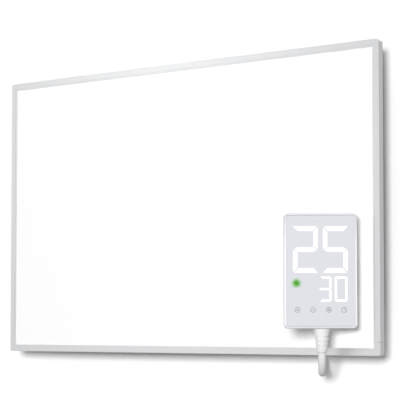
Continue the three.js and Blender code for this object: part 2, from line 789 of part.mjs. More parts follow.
// The fixed half of the holder, round the pivot and square to the panel
function addHolderFoot(parent) {
  const seat = pivotToPlate - clearance;
  const half = knuckleHeight / 2 + clearance;
  const front = seat - footThickness;
  const lugOutline = new THREE.Shape();
  lugOutline.moveTo(lugSpread, front + bite);
  lugOutline.lineTo(-lugSpread, front + bite);
  lugOutline.lineTo(-knuckleRadius, 0);
  lugOutline.absarc(0, 0, knuckleRadius, Math.PI, 2 * Math.PI);
  const lug = (z) => new THREE.ExtrudeGeometry(
    lugOutline, { depth: lugThickness, bevelEnabled: false, curveSegments: 8 },
  ).translate(0, 0, z);
  piece(parent, 'holder_foot', cut(
    join(
      turned([
        [0, front], [footDiameter / 2 - footBevel, front], [footDiameter / 2, front + footBevel],
        [footDiameter / 2, seat], [0, seat],
      ], 0, 0, 32),
      lug(half), lug(-half - lugThickness),
    ),
    post(pinDiameter + 2 * clearance, -half - lugThickness - past, half + lugThickness + past),
    rod(magnetDiameter + 2 * clearance, seat - magnetThickness - clearance, seat + past, 0, 0, 24),
  ), whitePlastic);
  piece(parent, 'holder_magnet', rod(magnetDiameter, seat - magnetThickness, seat, 0, 0, 24), screwSteel);
  const pinEnd = half + lugThickness;
  piece(parent, 'swivel_pin', join(
    post(pinDiameter, -pinEnd - pinTip, pinEnd + clearance + bite),
    post(pinHead, pinEnd + clearance, pinEnd + clearance + pinHeadHeight),
  ), screwSteel);
}

function addCradle(parent) {
  const front = shellRear + clearance;
  const back = front + cradleThickness;
  const screws = [['upper', 1], ['lower', -1]].map(([name, way]) => [name, (way * cradleScrewSpacing) / 2]);
  piece(parent, 'cradle', cut(
    join(
      slab(rounded(cradleWidth, cradleHeight, cradleCorner), front, back),
      post(2 * knuckleRadius, -knuckleHeight / 2, knuckleHeight / 2, 0, 0, 20),
      block(
        -cradleWeb / 2, cradleWeb / 2, back - bite, -cradleWebEnd, -knuckleHeight / 2, knuckleHeight / 2,
      ),
    ),
    post(pinDiameter + 2 * clearance, -knuckleHeight, knuckleHeight),
    ...screws.map(([, z]) =>
      rod(cradleScrewDiameter + 2 * clearance, front - past, back + past, 0, z, 12)),
  ), whitePlastic);
  screws.forEach(([name, z]) => {
    piece(parent, `cradle_screw_${name}`, fastener(
      cradleScrewDiameter, shellRear - shellBack - cradleScrewReach, back + clearance, cradleScrewHead,
      [cradleScrewBevel, cradleScrewShoulder, cradleScrewRise], 0, z,
    ), screwSteel);
  });
}

function addControllerShells(parent) {
  const outline = () => rounded(controllerWidth, controllerHeight, controllerCorner);
  const inside = () => rounded(
    controllerWidth - 2 * shellWall, controllerHeight - 2 * shellWall, controllerCorner - shellWall,
  );
  const bottom = -controllerHeight / 2;
  const neckHole = () => post(
    bootNeck + 2 * clearance, bottom - past, bottom + shellWall + past, bootAside, bootY,
  );
  const standoffs = boardCorners().map(([x, z]) =>
    rod(standoffDiameter, boardBack + clearance, shellRear - shellBack + bite, x, z, 12));
  const screwHoles = [-1, 1].map((way) => rod(
    cradleScrewDiameter + 2 * clearance, shellRear - shellBack - past, shellRear + past,
    0, (way * cradleScrewSpacing) / 2, 12,
  ));
  piece(parent, 'controller_back_shell', cut(
    join(
      cut(
        slab(outline(), shellSplit, shellRear),
        slab(inside(), shellSplit - past, shellRear - shellBack),
      ),
      ...standoffs,
    ),
    ...screwHoles, neckHole(),
  ), whitePlastic);

  const recess = rounded(faceWidth + 2 * clearance, faceHeight + 2 * clearance, faceCorner);
  piece(parent, 'controller_front_shell', cut(
    slab(outline(), shellFront, shellSplit - clearance),
    slab(recess, shellFront - past, faceBack),
    slab(inside(), shellFloor, shellSplit + past),
    slab(displayOutline(clearance), faceBack - past, shellFloor + past),
    rod(ledDiameter + 2 * clearance, faceBack - past, shellFloor + past, ledX, ledZ, 12),
    neckHole(),
  ), whitePlastic);
  piece(parent, 'face_panel', cut(
    slab(rounded(faceWidth, faceHeight, faceCorner - clearance), shellFront, shellFront + faceThickness),
    rod(ledDiameter + 2 * clearance, shellFront - past, faceBack, ledX, ledZ, 12),
  ), greyGlass);
}

function boardCorners() {
  const [x, z] = [controllerWidth / 2 - standoffFromSide, controllerHeight / 2 - standoffFromEnd];
  return [[x, z], [-x, z], [x, -z], [-x, -z]];
}

// Large digits on top, small ones below them on the right
function displayOutline(room) {
  const [left, right] = [-displayWidth / 2 - room, displayWidth / 2 + room];
  const smallLeft = right - smallDigitsWidth - 2 * room;
  const [top, step, bottom] = [displayTop + room, bigDigitsBottom - room, smallDigitsBottom - room];
  return polygon([
    [left, top], [left, step], [smallLeft, step], [smallLeft, bottom], [right, bottom], [right, top],
  ].reverse());
}

function addControllerInside(parent) {
  const rear = shellRear - shellBack;
  piece(parent, 'display_module', slab(
    displayOutline(0), shellFloor + clearance, shellFloor + clearance + displayThickness,
  ), litWhite);
  piece(parent, 'status_led', turned([
    [0, shellFront], [ledDiameter / 2 - ledBevel, shellFront], [ledDiameter / 2, shellFront + ledDome],
    [ledDiameter / 2, boardFront - clearance], [0, boardFront - clearance],
  ], ledX, ledZ, 12), litGreen);
  piece(parent, 'touch_strip', block(
    -touchStripWidth / 2, touchStripWidth / 2,
    shellFloor + clearance, shellFloor + clearance + touchStripThickness,
    touchStripZ - touchStripHeight / 2, touchStripZ + touchStripHeight / 2,
  ), copper);
  piece(parent, 'controller_board', slab(
    rounded(
      controllerWidth - 2 * (shellWall + boardMargin),
      controllerHeight - 2 * (shellWall + boardMargin) - bootFlangeThickness,
      boardCorner, 0, bootFlangeThickness / 2,
    ), boardFront, boardBack,
  ), boardGreen);
  const seat = boardBack + clearance;
  const onBoard = (left, right, height) => block(
    left, right, seat, rear - moduleRoom, moduleMiddle - height / 2, moduleMiddle + height / 2,
  );
  const relay = onBoard(moduleAside, moduleAside + relayWidth, relayHeight);
  const powerModule = onBoard(-moduleAside - powerModuleWidth, -moduleAside, powerModuleHeight);
  piece(parent, 'relay', relay, blackPlastic);
  piece(parent, 'power_module', powerModule, blackPlastic);
  piece(parent, 'room_sensor', rod(
    sensorDiameter, seat, rear - sensorRoom,
    sensorFromSide - controllerWidth / 2, sensorAboveBottom - controllerHeight / 2, 10,
  ), blackPlastic);
}

// The boot's middle line: straight down under the shell, then an arc towards the wall
function bootPath(heading) {
  const bend = THREE.MathUtils.degToRad(bootBend);
  const radius = (bootLength - bootCollar) / bend;
  const steps = 9;
  const top = new THREE.Vector3(bootAside, bootY, -controllerHeight / 2 - clearance);
  const collar = top.clone().add(new THREE.Vector3(0, 0, -bootCollar));
  const centres = [top];
  for (let i = 0; i <= steps; i += 1) {
    const angle = (bend * i) / steps;
    centres.push(collar.clone()
      .add(new THREE.Vector3(0, 0, -radius * Math.sin(angle)))
      .addScaledVector(heading, radius * (1 - Math.cos(angle))));
  }
  return centres;
}

function addBoot(parent) {
  const heading = new THREE.Vector3(0, 1, 0)
    .applyAxisAngle(new THREE.Vector3(0, 0, 1), THREE.MathUtils.degToRad(bendHeading - controllerTurn));
  const centres = bootPath(heading);
  const last = centres.length - 1;
  const radii = centres.map((centre, i) => THREE.MathUtils.lerp(bootTop, bootEnd, i / last) / 2);
  const wallInside = -controllerHeight / 2 + shellWall;
  piece(parent, 'cord_boot', join(
    sweep(centres, radii, 16),
    post(bootNeck, -controllerHeight / 2 - clearance - bite, wallInside + clearance + bite, bootAside, bootY),
    post(
      bootFlange, wallInside + clearance, wallInside + clearance + bootFlangeThickness, bootAside, bootY,
    ),
  ), softWhite);
}

// ---------------------------------------------------------------- cord

// The coil spirals in next to the wall and out again next to the panel, and changes layer in
// the half turn where the spiral reverses.
function turnRadius(turn) {
  return coilRadius - coilPitch * (coilTurns / 2 - Math.hypot(turn - coilTurns / 2, coilEase));
}

// The radii of every turn that passes one place round the coil, given as a share of a turn
function radiiAt(share) {
  const radii = [];
  for (let turn = share; turn <= coilTurns; turn += 1) radii.push(turnRadius(turn));
  return radii;
}

function coilCentres() {
  const place = (turn) => {
    const radius = turnRadius(turn);
    const climb = THREE.MathUtils.smoothstep(turn - coilTurns / 2, -0.25, 0.25);
    const angle = 2 * Math.PI * turn;
    return new THREE.Vector3(radius * Math.cos(angle), -coilPitch * climb, radius * Math.sin(angle))
      .add(coilCentre);
  };
  const count = Math.round(coilTurns * coilSteps);
  const centres = [];
  for (let i = 0; i <= count; i += 1) centres.push(place((i / count) * coilTurns));
  centres.unshift(centres[0].clone().add(new THREE.Vector3(0, 0, -cordDiameter)));
  centres.push(centres.at(-1).clone().add(new THREE.Vector3(-cordDiameter, 0, 0)));
  return centres;
}

// Least gap between stretches of the tube that lie half a turn or more apart along it
function leastGap(centres, diameter) {
  const samples = 1200;
  const line = new THREE.CatmullRomCurve3(centres, false, 'centripetal').getSpacedPoints(samples);
  const apart = Math.round(samples / coilTurns / 2);
  let least = Infinity;
  for (let i = 0; i < line.length; i += 1) {
    for (let k = i + apart; k < line.length; k += 1) least = Math.min(least, line[i].distanceTo(line[k]));
  }
  return least - diameter;
}

function addCord(parent) {
  const centres = coilCentres();
  console.log(`coil: least gap to itself ${leastGap(centres, cordDiameter).toFixed(2)} mm`);
  piece(parent, 'cord_lead', tube(leadRoute, cordDiameter, leadSteps, cordSides), softWhite);
  piece(parent, 'cord_coil', sweep(centres, centres.map(() => cordDiameter / 2), coilSides), softWhite);
  piece(parent, 'cord_tail', tube(tailRoute, cordDiameter, tailSteps, cordSides), softWhite);
}

function addHookAndTie(parent) {
  const [x, z] = [coilCentre.x, coilCentre.z - panelMiddle];
  const inner = Math.min(...radiiAt(0.25)) - cordDiameter / 2; // underside of the top turn
  const wallSide = coilCentre.y + wallGap + cordDiameter / 2;
  const top = z + inner - 2 * clearance;
  const rest = wallSide + hookRoom;
  const end = rest + hookLip;
  piece(parent, 'cable_hook', strip(polygon([
    [backSeat, top - hookFoot], [backSeat, top], [rest, top], [rest, top + hookTip], [end, top + hookTip],
    [end, top - hookSheet], [backSeat + hookSheet, top - hookSheet], [backSeat + hookSheet, top - hookFoot],
  ].reverse()), hookWidth, x), whitePlastic);

  const room = 2 * clearance;
  const bottomRadii = radiiAt(0.75);
  const bundleWidth = Math.max(...bottomRadii) - Math.min(...bottomRadii) + cordDiameter + 2 * room;
  const bundleDepth = coilPitch + cordDiameter + 2 * room;
  const tieY = coilCentre.y + wallGap - coilPitch / 2;
  const tieZ = z - (Math.max(...bottomRadii) + Math.min(...bottomRadii)) / 2;
  const hole = rounded(bundleDepth, bundleWidth, tieCorner, tieY, tieZ);
  const band = rounded(
    bundleDepth + 2 * tieBand, bundleWidth + 2 * tieBand, tieCorner + tieBand, tieY, tieZ,
  );
  piece(parent, 'cord_tie', strip(holed(band, hole), tieWidth, x), blackPlastic);
}

// ---------------------------------------------------------------- assembly

const heater = new THREE.Group();
addWallRail(heater);

const panel = group(heater, 0, -wallGap, panelMiddle);
addFrame(panel);
addSheets(panel);
addHangers(panel);
addSpacers(panel);
addTerminalBox(panel);
addHookAndTie(panel);

const holder = group(panel, pivot.x, pivot.y, pivot.z);
addHolderFoot(holder);
const controller = group(holder);
controller.rotation.z = THREE.MathUtils.degToRad(controllerTurn);
addCradle(controller);
addControllerShells(controller);
addControllerInside(controller);
addBoot(controller);

addCord(heater);

export default heater;
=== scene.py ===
# %% [markdown]
# # An infrared panel heater and its touch controller
# A slim heated plate in an aluminium frame hangs on a wall rail, and a wired controller sits on
# a swivel holder in front of its lower right corner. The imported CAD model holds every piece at
# its real size and place. This script keeps those places and gives each piece the surface that
# it has on the real product: rounded edges, moulded joints, lit figures, and a finish of its own.

# %% Load the frame
import json
import math

import bmesh
import bpy
import numpy as np
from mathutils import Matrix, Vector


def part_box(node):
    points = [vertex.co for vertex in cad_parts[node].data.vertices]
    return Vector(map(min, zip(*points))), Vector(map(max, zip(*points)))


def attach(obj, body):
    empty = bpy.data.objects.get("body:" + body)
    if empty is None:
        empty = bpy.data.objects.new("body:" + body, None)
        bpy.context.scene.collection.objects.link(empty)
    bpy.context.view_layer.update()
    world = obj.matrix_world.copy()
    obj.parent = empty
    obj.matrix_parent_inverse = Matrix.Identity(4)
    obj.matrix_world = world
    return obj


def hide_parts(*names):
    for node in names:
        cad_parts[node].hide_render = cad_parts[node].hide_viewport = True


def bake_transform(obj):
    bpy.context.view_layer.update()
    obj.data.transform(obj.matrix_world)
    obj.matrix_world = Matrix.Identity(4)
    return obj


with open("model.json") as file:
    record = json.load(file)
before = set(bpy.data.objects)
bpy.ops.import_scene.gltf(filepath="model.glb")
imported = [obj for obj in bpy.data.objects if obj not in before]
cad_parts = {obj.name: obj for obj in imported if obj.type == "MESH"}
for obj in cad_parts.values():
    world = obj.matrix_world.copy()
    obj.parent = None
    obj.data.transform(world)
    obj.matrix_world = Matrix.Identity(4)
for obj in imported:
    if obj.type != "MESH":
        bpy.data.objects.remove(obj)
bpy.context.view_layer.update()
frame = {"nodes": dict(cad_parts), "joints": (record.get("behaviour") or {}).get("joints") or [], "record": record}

# %% [markdown]
# ## Places taken from the frame
# Every new piece is placed from the box of the CAD node that it stands for, so nothing is
# fitted by eye. Only the controller is turned, so it has a small frame of its own: across its
# face, inwards from its face, and up.

# %% Places
mm = 0.001


def corners(node):
    """Lowest and highest corner of a CAD node, in metres."""
    low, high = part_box(node)
    return np.array(low), np.array(high)


frame_low, frame_high = corners("frame_profile")
panel_width, panel_depth, panel_height = frame_high - frame_low
panel_centre = (frame_low + frame_high) / 2
swivel = next(joint for joint in frame["joints"] if joint["name"] == "controller_swivel")
pivot = np.array(swivel["pos_m"])
controller_turn = math.radians(32)
across = np.array([math.cos(controller_turn), math.sin(controller_turn), 0])
inward = np.array([-math.sin(controller_turn), math.cos(controller_turn), 0])
upward = np.array([0, 0, 1])
shell_front, shell_split, shell_back = -27 * mm, -20 * mm, -9 * mm  # inwards from the pivot


def on_controller(x, y, z):
    """pivot + x across the face + y inwards + z up, for numbers or arrays in metres."""
    x, y, z = np.broadcast_arrays(x, y, z)
    return pivot + x[..., None] * across + y[..., None] * inward + z[..., None] * upward


print("panel:", np.round([panel_width, panel_height, panel_depth], 4), "pivot:", pivot)

# %% [markdown]
# ## The camera
# The photograph was taken from the panel's right, level with its lower edge. The straight edges
# of the frame fix the viewpoint: their slopes give the turn and the distance, and the shift
# holds the upright edges parallel while the object sits low in the picture.

# %% Camera
def place(made):
    """Puts a new object into the scene."""
    bpy.context.scene.collection.objects.link(made)
    return made


image_side = 400  # pixels
focal_length = 1290.8  # pixels
film = 36  # mm
camera_from_panel = np.array([965.0, -1486.1, -160.1]) * mm
camera_turn = math.radians(32.06)
camera_rise = math.radians(2.49)
lowered = 0.17  # the object sits lower than the middle by this share of the picture

camera_data = bpy.data.cameras.new("camera")
camera_data.sensor_width = film
camera_data.lens = film * focal_length / image_side
camera_data.shift_y = lowered
camera = place(bpy.data.objects.new("camera", camera_data))
camera.location = (panel_centre[0], frame_low[1], panel_centre[2]) + camera_from_panel
camera.rotation_euler = (math.pi / 2 + camera_rise, 0, camera_turn)
bpy.context.scene.camera = camera
print("camera:", np.round(camera.location, 3), "lens:", round(camera_data.lens, 1))

# %% [markdown]
# ## Surfaces from grids
# Most parts of this product are a profile carried along a path: a rail is an outline pushed
# along a line, a screw is one turned about an axis, a moulded shell is one carried round a
# rounded rectangle. All of them are the same thing, a grid of points with quads between
# neighbours, so one function makes the faces of every grid and another joins grids into a mesh.


# %% Grid helpers
same_point = 0.002 * mm  # points closer than this are merged
flat_enough = math.radians(0.3)


def run(line, closed):
    """Distance along a line of points from its first one, with the closing step if it is closed."""
    ends = np.concatenate([line, line[:1]]) if closed else line
    return np.concatenate([[0], np.cumsum(np.linalg.norm(np.diff(ends, axis=0), axis=1))])


def grid(points, round_rows=False, round_columns=True):
    """Quads that join each point to the next in its row and to both in the next row.

    Its chart runs in metres, along the rows and round the columns. An open grid of closed rows
    gets a flat cap at both ends.
    """
    rows, columns = points.shape[:2]
    row, column = np.meshgrid(
        np.arange(rows if round_rows else rows - 1),
        np.arange(columns if round_columns else columns - 1), indexing="ij",
    )
    steps = [(0, 0), (0, 1), (1, 1), (1, 0)]
    quads = np.stack([(row + a) % rows * columns + (column + b) % columns for a, b in steps], -1)
    along, around = run(points[:, 0], round_rows), run(points[0], round_columns)
    chart = np.stack([np.stack([along[row + a], around[column + b]], -1) for a, b in steps], -2)
    capped = round_columns and not round_rows
    caps = [np.arange(columns), (rows - 1) * columns + np.arange(columns)] if capped else []
    return points.reshape(-1, 3), quads.reshape(-1, 4), chart.reshape(-1, 4, 2), caps


def once_round(sides):
    """The angles of points spaced evenly round a circle."""
    return np.linspace(0, 2 * math.pi, sides, endpoint=False)


def clean(mesh, flat_faces=False):
    """Merges doubled points, turns every face outwards, and if asked joins flat neighbours."""
    work = bmesh.new()
    work.from_mesh(mesh)
    bmesh.ops.remove_doubles(work, verts=work.verts, dist=same_point)
    bmesh.ops.dissolve_degenerate(work, edges=work.edges, dist=same_point / 2)
    if flat_faces:
        bmesh.ops.dissolve_limit(work, angle_limit=flat_enough, verts=work.verts, edges=work.edges)
    bmesh.ops.recalc_face_normals(work, faces=work.faces)
    work.to_mesh(mesh)
    work.free()


def modify(piece, kind, **settings):
    """Runs one modifier on a piece, and makes the result the piece's own mesh."""
    modifier = piece.modifiers.new(kind, kind)
    for key, value in settings.items():
        setattr(modifier, key, value)
    result = piece.evaluated_get(bpy.context.evaluated_depsgraph_get())
    made = bpy.data.meshes.new_from_object(result)
    piece.modifiers.clear()
    piece.data = made


def soften(piece, width, segments=3, sharper_than=30):
    """Rounds every edge that turns by more than the given angle."""
    modify(piece, "BEVEL", width=width, segments=segments, limit_method="ANGLE",
           angle_limit=math.radians(sharper_than))


def cut_away(piece, surface):
    """Takes a closed surface out of a piece."""
    tool = mesh_object("cutter", [surface])
    modify(piece, "BOOLEAN", operation="DIFFERENCE", solver="EXACT", object=tool)
    bpy.data.objects.remove(tool)


def mesh_object(name, surfaces):
    """One object from several grids, with their charts in one UV map."""
    points, faces, chart, count = [], [], [], 0
    for surface_points, quads, quad_chart, caps in surfaces:
        points.append(surface_points)
        faces += (quads + count).tolist() + [(cap + count).tolist() for cap in caps]
        chart += [quad_chart.reshape(-1, 2), np.zeros((sum(len(cap) for cap in caps), 2))]
        count += len(surface_points)
    mesh = bpy.data.meshes.new(name)
    mesh.from_pydata(np.concatenate(points).tolist(), [], faces)
    mesh.uv_layers.new(name="chart").data.foreach_set("uv", np.concatenate(chart).ravel())
    clean(mesh)
    return place(bpy.data.objects.new(name, mesh))


def settle(piece, finish, body, stands_for=(), crease=35):
    """Gives a piece its finish, its shading, the body it rides on and the nodes it replaces."""
    piece.data.materials.clear()
    piece.data.materials.append(finishes[finish])
    piece.data.shade_smooth()
    piece.data.set_sharp_from_angle(angle=math.radians(crease))
    modify(piece, "WEIGHTED_NORMAL", keep_sharp=True)  # large flats stay flat
    if body:
        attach(piece, body)
    if stands_for:
        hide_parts(*stands_for)
    return piece


def eased(outline, reach, steps=5, closed=True):
    """Each corner gives way to a parabola, (1-t)^2 before + 2t(1-t) corner + t^2 after.

    before and after lie at the given reach from the corner, along the two sides that meet there.
    """
    outline, reach = np.asarray(outline, float), np.broadcast_to(reach, len(outline))[:, None]

    def towards(neighbour):
        way = neighbour - outline
        return outline + reach * way / np.maximum(np.linalg.norm(way, axis=1)[:, None], 1e-9)

    before, after = (towards(np.roll(outline, shift, axis=0))[:, None] for shift in (1, -1))
    t = np.linspace(0, 1, steps)[None, :, None]
    curve = (1 - t) ** 2 * before + 2 * t * (1 - t) * outline[:, None] + t**2 * after
    points = curve.reshape(-1, outline.shape[1])
    if closed:
        return points
    return np.concatenate([outline[:1], points[steps:-steps], outline[-1:]])


def profile_mm(points, reach):
    """An open profile with its corners eased. Its points and reaches are given in mm."""
    return eased(np.array(points) * mm, np.array(reach) * mm, closed=False)


print("grid helpers ready")

# %% [markdown]
# ## Materials
# Three effects come back in many finishes: a slow drift of tone and gloss with a fine grain, the
# drawn lines of an extrusion, and the spangle of a zinc coat. Each is a node group, built once
# with named sockets, and placed in a material with values of its own. Shaders stay outside.


# %% Node group helpers
FLOAT, COLOUR, VECTOR = "NodeSocketFloat", "NodeSocketColor", "NodeSocketVector"


def new_group(name, inputs, outputs):
    """A shader node group with (name, type, value) inputs and (name, type) outputs.

    Returns the group, the sockets that give its inputs, and the node that takes its results.
    """
    group = bpy.data.node_groups.new(name, "ShaderNodeTree")
    for label, kind, value in inputs:
        group.interface.new_socket(label, in_out="INPUT", socket_type=kind).default_value = value
    for label, kind in outputs:
        group.interface.new_socket(label, in_out="OUTPUT", socket_type=kind)
    given = group.nodes.new("NodeGroupInput").outputs
    return group, given, group.nodes.new("NodeGroupOutput")


def fill(node, **inputs):
    """Fills a node's inputs with values or links.

    An input goes by its name, with _ for a space, or by i and its number.
    """
    for key, value in inputs.items():
        socket = node.inputs[int(key[1:]) if key[1:].isdigit() else key.replace("_", " ")]
        if isinstance(value, bpy.types.NodeSocket):
            node.id_data.links.new(value, socket)
        else:
            socket.default_value = value
    return node


def add(tree, kind, settings=None, **inputs):
    """Adds a node, sets its properties, and fills its inputs."""
    node = tree.nodes.new("ShaderNode" + kind)
    for key, value in (settings or {}).items():
        setattr(node, key, value)
    return fill(node, **inputs)


def arithmetic(tree, operation, *values):
    """A Math node on values or sockets, and its result."""
    return add(tree, "Math", {"operation": operation},
               **{f"i{number}": value for number, value in enumerate(values)}).outputs[0]


def scaled_colour(tree, colour, factor):
    """A colour times a factor that changes over the surface."""
    product = add(tree, "VectorMath", {"operation": "SCALE"}, i0=colour, Scale=factor)
    return product.outputs[0]


def smooth_share(tree, value, none_at, all_at):
    """0 where the value is at none_at and 1 where it is at all_at, with a smooth step between."""
    return add(tree, "MapRange", {"interpolation_type": "SMOOTHSTEP"}, Value=value,
               From_Min=none_at, From_Max=all_at).outputs[0]


def blended(tree, share, first, second):
    """The first colour where the share is 0, and the second where it is 1."""
    return add(tree, "Mix", {"data_type": "RGBA"}, i0=share, i6=first, i7=second).outputs[2]


# %% Shared effects
surface_drift, given, result = new_group(
    "surface_drift",
    [("Vector", VECTOR, (0, 0, 0)), ("Colour", COLOUR, (1, 1, 1, 1)), ("Drift", FLOAT, 0.02),
     ("Drift Scale", FLOAT, 8), ("Roughness", FLOAT, 0.5), ("Spread", FLOAT, 0.05),
     ("Grain Scale", FLOAT, 900)],
    [("Colour", COLOUR), ("Roughness", FLOAT), ("Height", FLOAT)],
)
cloud, grain = (
    add(surface_drift, "TexNoise", Vector=given["Vector"], Scale=given[scale],
        Detail=detail).outputs["Fac"]
    for scale, detail in (("Drift Scale", 3.0), ("Grain Scale", 2.0))
)
swing = arithmetic(surface_drift, "SUBTRACT", cloud, 0.5)
tone = arithmetic(surface_drift, "MULTIPLY_ADD", swing, given["Drift"], 1.0)
gloss = arithmetic(surface_drift, "MULTIPLY_ADD", swing, given["Spread"], given["Roughness"])
fill(result, Colour=scaled_colour(surface_drift, given["Colour"], tone), Roughness=gloss,
     Height=grain)

drawn_lines, given, result = new_group(
    "drawn_lines",
    [("Chart", VECTOR, (0, 0, 0)), ("Along", FLOAT, 12), ("Across", FLOAT, 2600)],
    [("Lines", FLOAT)],
)
sizes = add(drawn_lines, "CombineXYZ", X=given["Along"], Y=given["Across"])
stretched = add(drawn_lines, "VectorMath", {"operation": "MULTIPLY"},
                i0=given["Chart"], i1=sizes.outputs[0])
lines = add(drawn_lines, "TexNoise", {"noise_dimensions": "2D"},
            Vector=stretched.outputs[0], Scale=1.0, Detail=3.0)
fill(result, Lines=lines.outputs["Fac"])

zinc_spangle, given, result = new_group(
    "zinc_spangle",
    [("Vector", VECTOR, (0, 0, 0)), ("Colour", COLOUR, (1, 1, 1, 1)), ("Flower Scale", FLOAT, 110),
     ("Contrast", FLOAT, 0.2), ("Roughness", FLOAT, 0.4)],
    [("Colour", COLOUR), ("Roughness", FLOAT)],
)
flowers = add(zinc_spangle, "TexVoronoi", Vector=given["Vector"], Scale=given["Flower Scale"])
facet = add(zinc_spangle, "SeparateColor", i0=flowers.outputs["Color"]).outputs[0]
swing = arithmetic(zinc_spangle, "SUBTRACT", facet, 0.5)
tone = arithmetic(zinc_spangle, "MULTIPLY_ADD", swing, given["Contrast"], 1.0)
gloss = arithmetic(zinc_spangle, "MULTIPLY_ADD", swing, 0.2, given["Roughness"])
fill(result, Colour=scaled_colour(zinc_spangle, given["Colour"], tone), Roughness=gloss)
print("shared effects:", [group.name for group in bpy.data.node_groups])

# %% [markdown]
# ## Finishes
# Each finish starts from the same few nodes: the drift group feeds colour, roughness and a small
# bump, and everything that is the same all over the surface is set on the shader itself.

# %% Finishes
finishes = {}


def make_finish(name, colour, roughness, metallic=0.0, drift=0.03, drift_scale=9.0, spread=0.06,
                grain_scale=1400.0, grain_depth=0.012, coat=0.0, glow=0.0):
    """A material whose tone, gloss and grain come from the drift group. Returns its nodes too."""
    material = bpy.data.materials.new(name)
    material.use_nodes = True
    tree = material.node_tree
    spot = add(tree, "TexCoord").outputs["Object"]
    drifted = add(tree, "Group", {"node_tree": surface_drift}, Vector=spot,
                  Colour=(*colour, 1), Drift=drift, Drift_Scale=drift_scale, Roughness=roughness,
                  Spread=spread, Grain_Scale=grain_scale).outputs
    bump = add(tree, "Bump", Height=drifted["Height"], Strength=0.5, Distance=grain_depth * mm)
    shader = fill(tree.nodes["Principled BSDF"], Metallic=metallic, Coat_Weight=coat,
                  Coat_Roughness=0.08, Base_Color=drifted["Colour"],
                  Roughness=drifted["Roughness"], Normal=bump.outputs["Normal"])
    if glow:
        fill(shader, Emission_Color=drifted["Colour"], Emission_Strength=glow)
    finishes[name] = material
    return tree, shader, spot, drifted, bump


def make_metal(name, colour, roughness, contrast):
    """A zinc-coated metal: the drift group's grain, with colour and gloss from the spangle."""
    tree, shader, spot, drifted, bump = make_finish(name, colour, roughness, 1.0, grain_depth=0.02)
    spangle = add(tree, "Group", {"node_tree": zinc_spangle}, Vector=spot,
                  Colour=drifted["Colour"], Contrast=contrast, Roughness=roughness).outputs
    fill(shader, Base_Color=spangle["Colour"], Roughness=spangle["Roughness"])


shell_white = dict(colour=(0.86, 0.86, 0.865), roughness=0.38, drift=0.01, grain_scale=3000,
                   grain_depth=0.008)
make_finish("white_plastic", **shell_white)
make_finish("white_coating", (0.90, 0.90, 0.905), 0.42, drift=0.008, grain_scale=2200,
            grain_depth=0.03)
make_finish("soft_white", (0.80, 0.80, 0.805), 0.42, drift=0.02, grain_scale=2400,
            grain_depth=0.015)
make_finish("grey_plastic", (0.35, 0.36, 0.38), 0.5, grain_scale=2600, grain_depth=0.02)
make_finish("black_plastic", (0.022, 0.022, 0.025), 0.45, drift=0.2, grain_scale=2600,
            grain_depth=0.02)
make_finish("dark_rubber", (0.035, 0.035, 0.038), 0.8, drift=0.25, grain_scale=1800,
            grain_depth=0.04)
make_finish("screw_steel", (0.62, 0.63, 0.64), 0.28, 1.0, drift=0.06, grain_scale=1800)
make_finish("copper", (0.62, 0.33, 0.2), 0.32, 1.0, drift=0.15, drift_scale=40)
make_finish("brass", (0.66, 0.5, 0.21), 0.28, 1.0, drift=0.1, drift_scale=60)
make_finish("carbon_film", (0.03, 0.03, 0.033), 0.5, drift=0.3, drift_scale=30)
make_finish("bright_foil", (0.8, 0.805, 0.81), 0.22, 1.0, grain_scale=300, grain_depth=0.1)
make_finish("wool_board", (0.6, 0.5, 0.28), 0.95, drift=0.4, drift_scale=120, grain_scale=900,
            grain_depth=0.4)
make_finish("board_green", (0.03, 0.16, 0.07), 0.35, drift=0.15, drift_scale=200, coat=0.5)
make_finish("lit_white", (0.93, 0.93, 0.935), 0.3, drift=0.004, glow=0.03)
make_finish("lit_green", (0.07, 0.33, 0.028), 0.5, drift=0.05, glow=0.12)
make_finish("mark_grey", (0.2, 0.2, 0.24), 0.4, drift=0.05)
make_metal("zinc_steel", (0.52, 0.54, 0.56), 0.38, 0.18)
make_metal("pressed_zinc", (0.33, 0.34, 0.355), 0.44, 0.08)

# %% [markdown]
# The frame is drawn aluminium, etched and anodised: a soft metal sheen with fine lines along
# each rail. The lines follow the piece's own chart, so they turn with the corners.

# %% Anodised aluminium
tree, shader, spot, drifted, bump = make_finish(
    "anodised_aluminium", (0.80, 0.805, 0.815), 0.36, 0.9, drift=0.02, spread=0.05,
    grain_scale=3000,
)
chart = add(tree, "UVMap", {"uv_map": "chart"}).outputs["UV"]
streaks = add(tree, "Group", {"node_tree": drawn_lines}, Chart=chart).outputs["Lines"]
smoothest = arithmetic(tree, "SUBTRACT", drifted["Roughness"], 0.03)
fill(shader, Roughness=arithmetic(tree, "MULTIPLY_ADD", streaks, 0.06, smoothest))
fill(bump, Height=streaks)

# %% [markdown]
# The controller's face is a pale grey sheet with a clear, smooth front. A status light shines
# through it, and the sheet scatters some of that light in a small green halo around it.

# %% Face sheet with its halo
led_place = on_controller(-30.3 * mm, shell_front, -15.6 * mm)
halo_outside, halo_inside = 7.8 * mm, 2.2 * mm  # where the tint begins and where it is full
tree, shader, spot, drifted, bump = make_finish(
    "face_grey", (0.655, 0.665, 0.705), 0.3, drift=0.012, drift_scale=20, coat=0.25,
    grain_depth=0.004,
)
from_led = add(tree, "VectorMath", {"operation": "DISTANCE"}, i0=spot, i1=tuple(led_place))
halo = smooth_share(tree, from_led.outputs["Value"], halo_outside, halo_inside)
fill(shader, Base_Color=blended(tree, halo, drifted["Colour"], (0.13, 0.42, 0.06, 1)),
     Emission_Color=scaled_colour(tree, (0.1, 0.4, 0.04), halo), Emission_Strength=0.12)
